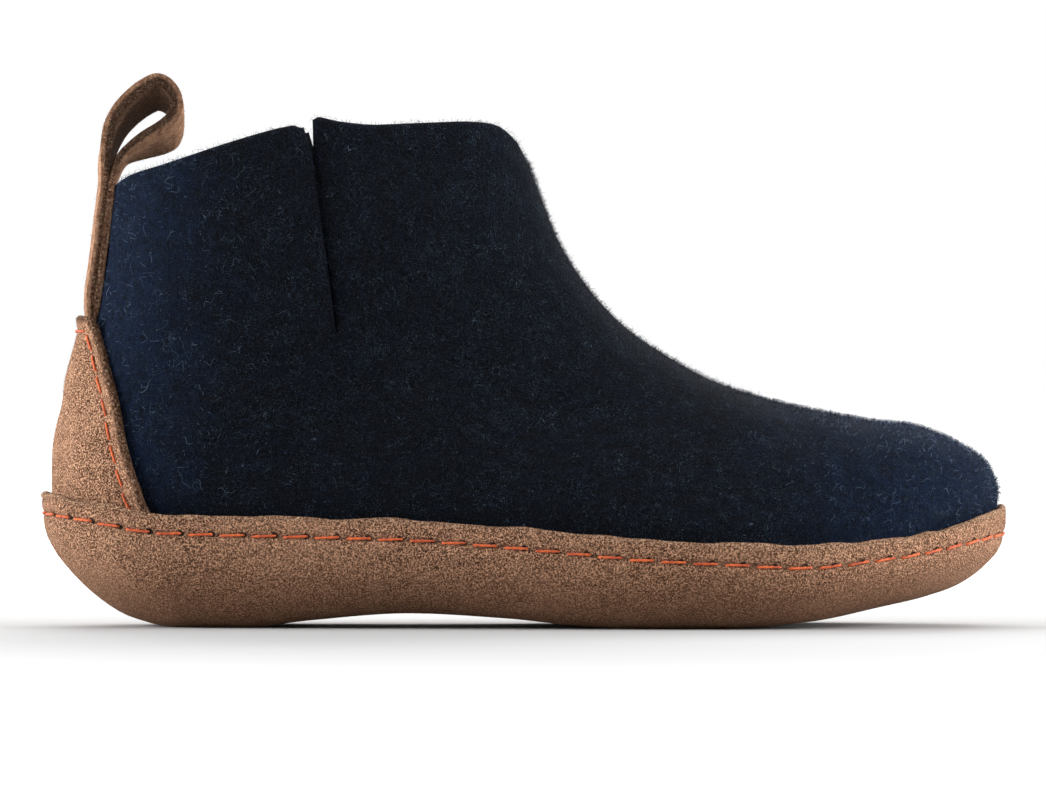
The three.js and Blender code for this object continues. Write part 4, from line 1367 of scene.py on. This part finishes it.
def suede_finish(settings, name, seam=False, strap=False):
    """Brown suede: speckled nap between a pale and a dark brown, soft brushed patches, a coarser cut edge,
    and, on the sole, painted shade that makes it darker and redder low down and along the seam's crease, and
    a painted dark spot of shade at the hole between each two stitches. The strap is smoother on its flesh side
    and has a painted shadow inside its loop."""
    f = Finish(name, Roughness=0.95, Specular_IOR_Level=0.15)
    f.surface.inputs["Sheen Weight"].default_value = 0.25
    f.surface.inputs["Sheen Roughness"].default_value = 0.5
    f.surface.inputs["Sheen Tint"].default_value = settings.pale_colour
    speckle = f.noise(2.2, 1.5, 0.4, None, 0.7)
    fine = f.noise(4.5, 1.0, 0.2)
    brushed = f.noise(0.07, 3.0, 1.2)
    nap = f.noise(0.45, 3.0, 0.9)
    tone = f.maths("ADD", f.maths("MULTIPLY", speckle, 0.78), f.maths("MULTIPLY", fine, 0.22))
    dark = f.fit(tone, 0.435, 0.48)
    pale = f.fit(tone, 0.515, 0.55)
    base = f.blend(dark, settings.dark_colour, settings.suede_colour)
    base = f.blend(pale, base, settings.pale_colour)
    base = f.blend(f.fit(brushed, 0.4, 0.7, 0.0, 0.16), base, settings.pale_colour)
    base = f.blend(f.fit(nap, 0.45, 0.75, 0.0, 0.14), base, settings.dark_colour)
    layers = [(nap, 0.25), (speckle, 1.2), (fine, 0.3)]
    if seam:
        z = f.axis("Z")
        # Painted shade: a darker, redder brown low on the sole's wall.
        low = f.fit(z, 26, 3)
        base = f.blend(f.maths("MULTIPLY", low, 0.55), base, settings.low_shade_and_lip_colour)
        run, rise = f.mark("seam_run"), f.mark("seam_rise")
        place = f.maths("ABSOLUTE", f.maths("SUBTRACT", f.maths("FRACT", run), 0.5))
        along = f.maths("MULTIPLY", f.maths("SUBTRACT", 0.5, place), settings.stitch_pitch / MM)
        away = f.maths("MULTIPLY", f.maths("SUBTRACT", rise, 0.25), 1 / 0.85)
        squares = f.maths("ADD", f.maths("MULTIPLY", along, along), f.maths("MULTIPLY", away, away))
        # Painted shade: a dark spot at each stitch hole; the same spot also presses a bump.
        hole = f.fit(f.maths("SQRT", squares), 0.75, 1.2, 1.0, 0.0)
        # Painted shade along the pinched crease of the seam.
        seam_crease_shade = f.fit(f.maths("ABSOLUTE", rise), 0.0, 0.9, 0.45, 0.0)
        raw = f.fit(rise, 4.4, 5.9, 0.0, 0.5)
        base = f.blend(seam_crease_shade, base, settings.dark_colour)
        rough = f.blend(f.fit(speckle, 0.44, 0.6), settings.low_shade_and_lip_colour, settings.edge_colour)
        base = f.blend(raw, base, rough)
        base = f.blend(hole, base, settings.hole_and_loop_shade_colour)
        layers.append((f.maths("SUBTRACT", 1.0, hole), 0.8))
    else:
        edge = f.mark("cut_edge")
        coarse = f.noise(1.5, 3.0, 0.6, None, 0.7)
        raw = f.blend(f.fit(coarse, 0.44, 0.54), settings.dark_colour, settings.suede_colour)
        raw = f.blend(f.fit(coarse, 0.56, 0.61), raw, settings.edge_colour)
        base = f.blend(edge, base, raw)
        layers.append((f.maths("MULTIPLY", coarse, edge), 1.8))
    if strap:
        flesh, inside = f.mark("flesh"), f.mark("inside")
        smooth_side = f.blend(f.fit(nap, 0.3, 0.7), settings.suede_colour, settings.pale_colour)
        base = f.blend(f.maths("MULTIPLY", flesh, 0.6), base, smooth_side)
        # Painted shadow on the inner face inside the loop.
        base = f.blend(f.maths("MULTIPLY", inside, 0.72), base, settings.hole_and_loop_shade_colour)
    f.colour(base)
    f.bump(*layers)
    return f.material


def insole_finish():
    """Grey wool felt of the insole: soft mottles and short crossing fibres."""
    f = Finish("grey_wool_felt", Roughness=1.0, Specular_IOR_Level=0.1)
    f.surface.inputs["Sheen Weight"].default_value = 0.3
    clumps = f.noise(0.12, 3.0, 0.8)
    base = f.blend(f.fit(clumps, 0.35, 0.68), paint(92, 92, 90), paint(146, 144, 138))
    hairs = f.threads(0.4, 0.02, 2.6)
    base = f.blend(f.maths("MULTIPLY", hairs, 0.4), base, paint(190, 187, 180))
    f.colour(base)
    f.bump((clumps, 0.4), (hairs, 0.15), (f.noise(1.8, 3.0), 0.3))
    return f.material


def wool_finish(settings, name):
    """Single wool hairs: each takes its own tone between blue and pale blue, with painted shade that darkens
    them towards the middle of the slipper's length.
    """
    f = Finish(name + "_wool", Roughness=0.85, Specular_IOR_Level=0.2)
    tone = f.mark("tone")
    base = f.blend(f.fit(tone, 0.0, 0.7), settings.blue_colour, settings.nap_colour)
    base = f.blend(f.fit(tone, 0.8, 1.0), base, settings.fibre_colour)
    # Painted shade: hairs darken towards the middle of the slipper's length, where less light falls.
    middle = f.fit(f.maths("ABSOLUTE", f.axis("X")), 125, 45, 0.0, 0.82)
    f.colour(f.blend(middle, base, settings.deep_colour))
    return f.material


def suede_nap_finish(settings):
    """Single suede hairs: each takes its own tone between dark and pale suede."""
    f = Finish("suede_hairs", Roughness=0.9, Specular_IOR_Level=0.15)
    tone = f.mark("tone")
    base = f.blend(f.fit(tone, 0.0, 0.6), settings.dark_colour, settings.suede_colour)
    base = f.blend(f.fit(tone, 0.6, 1.0), base, settings.edge_colour)
    f.colour(base)
    return f.material


def thread_finish(settings):
    """Waxed orange thread: a little paler and darker by turns, with fine fibres across its plies."""
    f = Finish("orange_thread", Roughness=0.62, Specular_IOR_Level=0.35)
    f.surface.inputs["Sheen Weight"].default_value = 0.2
    tone = f.noise(0.35, 3.0, 0.5)
    grain = f.noise(4.5, 2.0, 0.6)
    base = f.blend(f.fit(tone, 0.35, 0.7), settings.thread_colour, settings.thread_shade)
    base = f.blend(f.fit(grain, 0.5, 0.75, 0.0, 0.4), base, settings.thread_shade)
    f.colour(base)
    f.bump((grain, 0.08))
    return f.material


# Settings


def colour_property(label, description, value):
    """A colour that the user can change."""
    return bpy.props.FloatVectorProperty(
        name=label, description=description, default=value, size=4, min=0.0, max=1.0, subtype="COLOR"
    )


def size_property(label, description, value):
    """A size that the user can change, in metres."""
    return bpy.props.FloatProperty(
        name=label, description=description, default=value, unit="LENGTH", precision=5
    )


class SlipperFelt(bpy.types.PropertyGroup):
    """Sizes and colours of the felt"""

    slit_gap: size_property("Slit opening", "Width of the slit at the collar", 0.0026)
    edge_radius: size_property("Edge rounding", "Radius of the felt's cut edges", 0.0018)
    front_sink: size_property("Front flap sink", "How far the flap in front of the slit lies back", 0.0014)
    deep_colour: colour_property("Deep blue", "Darkest wool", paint(2, 3, 6))
    blue_colour: colour_property("Blue", "Bluest wool", paint(11, 25, 47))
    fibre_colour: colour_property("Fibre blue", "Pale single fibres", paint(146, 172, 202))
    nap_colour: colour_property("Nap blue", "Tone of the short nap", paint(30, 47, 76))
    nap_length: size_property("Nap length", "Length of the short wool nap", 0.0019)
    fibre_length: size_property("Fibre length", "Length of the loose curly fibres", 0.0034)
    nap_count: bpy.props.IntProperty(
        name="Nap", description="Hairs on each side of the felt", default=14200, min=100
    )
    fibre_count: bpy.props.IntProperty(name="Fibres", description="Loose curly fibres", default=6000, min=10)


class SlipperSuede(bpy.types.PropertyGroup):
    """Sizes and colours of the suede"""

    stitch_pitch: size_property("Stitch pitch", "Distance from one stitch hole to the next on the sole", 0.009)
    seam_dent: size_property("Seam pinch", "How far the sole's seam draws the suede in", 0.0006)
    suede_colour: colour_property("Suede", "Middle tone of the suede", paint(140, 99, 74))
    pale_colour: colour_property("Pale suede", "Brushed, paler nap", paint(226, 176, 142))
    dark_colour: colour_property("Dark suede", "Darker nap between the grains", paint(60, 36, 24))
    # Painted shade: darker, redder brown low on the sole's wall; also the darker mottle of the raw lip.
    low_shade_and_lip_colour: colour_property("Low suede", "Redder tone low on the wall", paint(100, 64, 44))
    edge_colour: colour_property("Cut edge", "Fibres of the raw edge", paint(196, 168, 140))
    # Painted shade: the dark of the stitch holes and of the pull loop's inner face.
    hole_and_loop_shade_colour: colour_property("Hole", "Stitch holes and deep edges", paint(24, 14, 10))
    counter_pitch: size_property("Counter pitch", "Distance between the counter's stitch holes", 0.0072)
    thread_thickness: size_property("Thread", "Thickness of the sewing thread", 0.0009)
    thread_colour: colour_property("Thread", "Orange thread", paint(222, 102, 42))
    thread_shade: colour_property("Thread shade", "Darker turns of the thread", paint(176, 68, 26))
    nap_length: size_property("Suede nap", "Length of the raised suede nap", 0.0007)
    nap_count: bpy.props.IntProperty(
        name="Suede hairs", description="Hairs of nap on the sole", default=10000, min=10
    )


class SlipperStage(bpy.types.PropertyGroup):
    """Camera, floor and light"""

    distance: size_property("Camera distance", "Distance from the camera to the slipper", 3.0)
    elevation: bpy.props.FloatProperty(
        name="Camera elevation",
        description="Angle of the camera above the floor",
        default=math.radians(0.25),
        subtype="ANGLE",
    )
    frame_width: size_property("Picture width", "Width of the picture at the slipper", 0.3012)
    side_shift: size_property("Side shift", "How far the camera stands towards the heel", 0.0007)
    aim_height: size_property("Aim height", "Height that the camera looks at", 0.0672)
    light: bpy.props.FloatProperty(name="Light", description="Strength of the soft lights", default=1.0, min=0.0)
    front_shade: bpy.props.FloatProperty(
        name="Front shade",
        description="Brightness of the room in front of the slipper",
        default=0.15,
        min=0.0,
        max=1.0,
    )


# Operators


class SLIPPER_OT_upper(bpy.types.Operator):
    """Make the felt upper: a wall of felt with a slit collar, soft edges and hand-felted lumps"""

    bl_idname = "slipper.upper"
    bl_label = "Felt upper"

    def execute(self, context):
        settings = context.scene.slipper_felt
        sheet, outer, inner = felt_faces_of(settings)
        faces = wall_faces(sheet["faces"], len(outer))
        make_piece(
            "felt_upper", np.vstack([outer, inner]), faces, felt_finish(settings), ["upper"]
        )
        return {"FINISHED"}


class SLIPPER_OT_sole(bpy.types.Operator):
    """Make the suede cup sole with its pinched seam, soft lip and curled-under edge"""

    bl_idname = "slipper.sole"
    bl_label = "Suede sole"

    def execute(self, context):
        settings = context.scene.slipper_suede
        points, faces, marks = sole_surface(settings.seam_dent / MM, settings.stitch_pitch / MM)
        finish = suede_finish(settings, "sole_suede", seam=True)
        make_piece("suede_sole", points, faces, finish, ["sole"], marks)
        return {"FINISHED"}


class SLIPPER_OT_heel(bpy.types.Operator):
    """Make the suede heel counter and the folded pull loop"""

    bl_idname = "slipper.heel"
    bl_label = "Heel counter and pull loop"

    def execute(self, context):
        settings = context.scene.slipper_suede
        points, faces, marks = counter_surface()
        finish = suede_finish(settings, "counter_suede")
        make_piece("suede_counter", points, faces, finish, ["heel_counter"], marks)
        points, faces, marks = strap_surface()
        finish = suede_finish(settings, "loop_suede", strap=True)
        make_piece("suede_loop", points, faces, finish, ["pull_loop"], marks)
        return {"FINISHED"}


class SLIPPER_OT_insole(bpy.types.Operator):
    """Make the loose felt insole"""

    bl_idname = "slipper.insole"
    bl_label = "Felt insole"

    def execute(self, context):
        points, faces = insole_surface()
        finish = insole_finish()
        make_piece("felt_insole", points, faces, finish, ["insole"])
        return {"FINISHED"}


class SLIPPER_OT_seams(bpy.types.Operator):
    """Sew the orange stitches round the sole and along the heel counter"""

    bl_idname = "slipper.seams"
    bl_label = "Stitches"

    def execute(self, context):
        settings = context.scene.slipper_suede
        finish = thread_finish(settings)
        radius = settings.thread_thickness / 2 / MM
        line, _ = seam_line(settings.seam_dent / MM)
        way = np.gradient(line, axis=0)
        out = np.stack([-way[:, 1], way[:, 0], 0 * way[:, 0]], 1)
        out /= np.linalg.norm(out, axis=1, keepdims=True)
        out *= np.sign((out * (line - [LENGTH / 2, 0, 0])).sum(axis=1, keepdims=True))
        points, faces = stitch_tubes(line, out, settings.stitch_pitch / MM, 1.5, radius, 0.45)
        make_piece("sole_seam", points, faces, finish)
        line, out = counter_seam_line()
        points, faces = stitch_tubes(line, out, settings.counter_pitch / MM, 1.1, 0.9 * radius, 0.3)
        make_piece("counter_seam", points, faces, finish)
        return {"FINISHED"}


class SLIPPER_OT_felt_nap(bpy.types.Operator):
    """Raise the short wool nap and lay the loose curly fibres on the felt"""

    bl_idname = "slipper.felt_nap"
    bl_label = "Wool nap"

    def execute(self, context):
        settings = context.scene.slipper_felt
        sheet, outer, _ = felt_faces_of(settings)
        faces = sheet["faces"]
        normals = normals_of(outer, faces)
        free = ease(0.0, 3.0, outer[:, 2] - rim_at(outer[:, 0]))
        behind = (np.abs(outer[:, 1]) < STRAP_WIDTH / 2) & (outer[:, 0] < 40) & (outer[:, 2] < COLLAR_HEIGHT)
        free = np.where(behind, 0, free)
        ridge = 1 + 6 * (1 - np.abs(normals[:, 1])) ** 2
        sides = ((outer[:, 1] < plan_middle(outer[:, 0])), (outer[:, 1] >= plan_middle(outer[:, 0])))
        surface = outer, normals, faces
        hair = settings.nap_length / MM, 0.045, 0.6
        for name, half, seed in (("outer_nap", sides[0], 61), ("inner_nap", sides[1], 62)):
            weight = free * half * ridge
            finish = wool_finish(settings, name)
            make_nap(name, surface, settings.nap_count, seed, weight, hair, finish, "upper_felt")
        spot, out, dice = scatter(*surface, settings.fibre_count, 63, free)
        centres, radii = curly_fibres(spot, out, dice, settings.fibre_length / MM, 0.027)
        make_hairs("loose_fibres", centres, radii, dice, wool_finish(settings, "fibres"), "upper_felt")
        return {"FINISHED"}


class SLIPPER_OT_suede_nap(bpy.types.Operator):
    """Raise the short nap of the suede, thickest along its cut edges"""

    bl_idname = "slipper.suede_nap"
    bl_label = "Suede nap"

    def execute(self, context):
        settings = context.scene.slipper_suede
        finish = suede_nap_finish(settings)
        points, faces, marks = sole_surface(settings.seam_dent / MM, settings.stitch_pitch / MM)
        rise = marks["seam_rise"]
        weight = np.where(rise > 3, 4.5, 1.0) * np.where(rise < -28, 0.0, 1.0)
        on_wall = ease(-6, 0, points[:, 2] - cup_floor(points[:, 0]) - 8)
        weight = weight * on_wall + 0.25 * (rise < 6) * (rise > -28)
        inside = (rise >= 6) & (points[:, 2] < rim_at(points[:, 0]) - 1.1)
        weight = np.where(inside | (points[:, 2] < 3), 0, weight)
        surface = points, normals_of(points, faces), faces
        hair = settings.nap_length / MM, 0.04, 0.8
        make_nap("sole_nap", surface, settings.nap_count, 71, weight, hair, finish, "sole_suede")

        points, faces, marks = counter_surface()
        weight = np.where(np.arange(len(points)) < len(points) // 2, 0.5 + 2.5 * marks["cut_edge"], 0)
        weight = weight * ease(-2, 1, points[:, 2] - rim_at(points[:, 0]))
        surface = points, normals_of(points, faces), faces
        hair = settings.nap_length / MM, 0.038, 0.8
        make_nap("counter_nap", surface, settings.nap_count // 2, 72, weight, hair, finish, "counter_suede")

        points, faces, marks = strap_surface()
        weight = (0.3 + 3.0 * marks["cut_edge"]) * ease(COUNTER_TOP, COUNTER_TOP + 3, points[:, 2])
        surface = points, normals_of(points, faces), faces
        hair = 1.5 * settings.nap_length / MM, 0.045, 0.8
        make_nap("loop_nap", surface, settings.nap_count // 2, 73, weight, hair, finish, "loop_suede")
        return {"FINISHED"}


class SLIPPER_OT_stage(bpy.types.Operator):
    """Set up the pale floor, the soft lights and the camera"""

    bl_idname = "slipper.stage"
    bl_label = "Stage"

    def execute(self, context):
        settings = context.scene.slipper_stage
        scene = context.scene
        scene.view_settings.view_transform = "Standard"

        mesh = bpy.data.meshes.new("pale_floor")
        reach = 15.0
        corners = [(-reach, -reach, 0), (reach, -reach, 0), (reach, reach, 0), (-reach, reach, 0)]
        mesh.from_pydata(corners, [], [(0, 1, 2, 3)])
        floor = bpy.data.objects.new("pale_floor", mesh)
        scene.collection.objects.link(floor)
        ground = Finish("pale_floor", Roughness=0.9, Specular_IOR_Level=0.1)
        ground.surface.inputs["Base Color"].default_value = (0.46, 0.46, 0.46, 1)
        # Painted light: the floor glows, more and more away from the slipper, so the far floor turns white while
        # near the slipper only the lamps light it.
        ground.surface.inputs["Emission Color"].default_value = (1, 1, 1, 1)
        wide = ground.stretched(1.6, 1, 1)
        far = ground.add("ShaderNodeVectorMath", {"operation": "LENGTH"}, {0: wide}).outputs["Value"]
        glow = ground.fit(far, 200, 1100, 0.0, 0.9)
        ground.tree.links.new(glow, ground.surface.inputs["Emission Strength"])
        mesh.materials.append(ground.material)

        world = bpy.data.worlds.new("studio")
        world.use_nodes = True
        tree = world.node_tree
        way = tree.nodes.new("ShaderNodeTexCoord")
        parts = tree.nodes.new("ShaderNodeSeparateXYZ")
        shade = tree.nodes.new("ShaderNodeMapRange")
        shade.interpolation_type = "SMOOTHSTEP"
        shade.inputs["From Min"].default_value = -0.9
        shade.inputs["From Max"].default_value = 0.05
        shade.inputs["To Min"].default_value = settings.front_shade
        shade.inputs["To Max"].default_value = 1.0
        tree.links.new(way.outputs["Generated"], parts.inputs[0])
        tree.links.new(parts.outputs["Y"], shade.inputs["Value"])
        tree.links.new(shade.outputs[0], tree.nodes["Background"].inputs["Strength"])
        tree.nodes["Background"].inputs["Color"].default_value = (1, 1, 1, 1)
        scene.world = world

        def soft_light(name, place, size, power):
            lamp = bpy.data.lights.new(name, "AREA")
            lamp.shape = "RECTANGLE"
            lamp.size, lamp.size_y = size
            lamp.energy = power * settings.light
            light = bpy.data.objects.new(name, lamp)
            light.location = place
            aim = Vector((0.0, 0.0, 0.06)) - Vector(place)
            light.rotation_euler = aim.to_track_quat("-Z", "Y").to_euler()
            scene.collection.objects.link(light)

        soft_light("left_softbox", (-1.2, -0.25, 0.4), (0.7, 0.6), 19)
        soft_light("right_softbox", (1.2, -0.2, 0.4), (0.7, 0.6), 21)
        soft_light("back_softbox", (0.0, 1.2, 0.9), (1.2, 0.7), 22)
        soft_light("front_fill", (-0.3, -1.5, 1.1), (1.0, 1.0), 1.5)

        camera = bpy.data.cameras.new("camera")
        camera.sensor_width = 36.0
        camera.lens = camera.sensor_width * settings.distance / settings.frame_width
        camera.clip_end = 60.0
        view = bpy.data.objects.new("camera", camera)
        back = settings.distance * math.cos(settings.elevation)
        up = settings.aim_height + settings.distance * math.sin(settings.elevation)
        view.location = (-settings.side_shift, -back, up)
        aim = Vector((-settings.side_shift, 0.0, settings.aim_height)) - view.location
        view.rotation_euler = aim.to_track_quat("-Z", "Y").to_euler()
        scene.collection.objects.link(view)
        scene.camera = view
        return {"FINISHED"}


STEPS = [
    SLIPPER_OT_stage,
    SLIPPER_OT_insole,
    SLIPPER_OT_sole,
    SLIPPER_OT_upper,
    SLIPPER_OT_heel,
    SLIPPER_OT_seams,
    SLIPPER_OT_felt_nap,
    SLIPPER_OT_suede_nap,
]


class SLIPPER_PT_panel(bpy.types.Panel):
    """Settings and steps of the slipper"""

    bl_idname = "SLIPPER_PT_panel"
    bl_label = "Felt hut slipper"
    bl_space_type = "VIEW_3D"
    bl_region_type = "UI"
    bl_category = "Slipper"

    def draw(self, context):
        for group in (context.scene.slipper_felt, context.scene.slipper_suede, context.scene.slipper_stage):
            box = self.layout.box()
            for name in group.bl_rna.properties.keys():
                if name not in ("rna_type", "name"):
                    box.prop(group, name)
        for step in STEPS:
            self.layout.operator(step.bl_idname)


CLASSES = [SlipperFelt, SlipperSuede, SlipperStage, *STEPS, SLIPPER_PT_panel]


def register():
    for kind in CLASSES:
        bpy.utils.register_class(kind)
    bpy.types.Scene.slipper_felt = bpy.props.PointerProperty(type=SlipperFelt)
    bpy.types.Scene.slipper_suede = bpy.props.PointerProperty(type=SlipperSuede)
    bpy.types.Scene.slipper_stage = bpy.props.PointerProperty(type=SlipperStage)


def unregister():
    del bpy.types.Scene.slipper_stage
    del bpy.types.Scene.slipper_suede
    del bpy.types.Scene.slipper_felt
    for kind in reversed(CLASSES):
        bpy.utils.unregister_class(kind)


def main():
    """Makes everything in order."""
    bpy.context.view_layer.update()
    register()
    for step in STEPS:
        group, name = step.bl_idname.split(".")
        getattr(getattr(bpy.ops, group), name)()


if __name__ == "__main__":
    main()
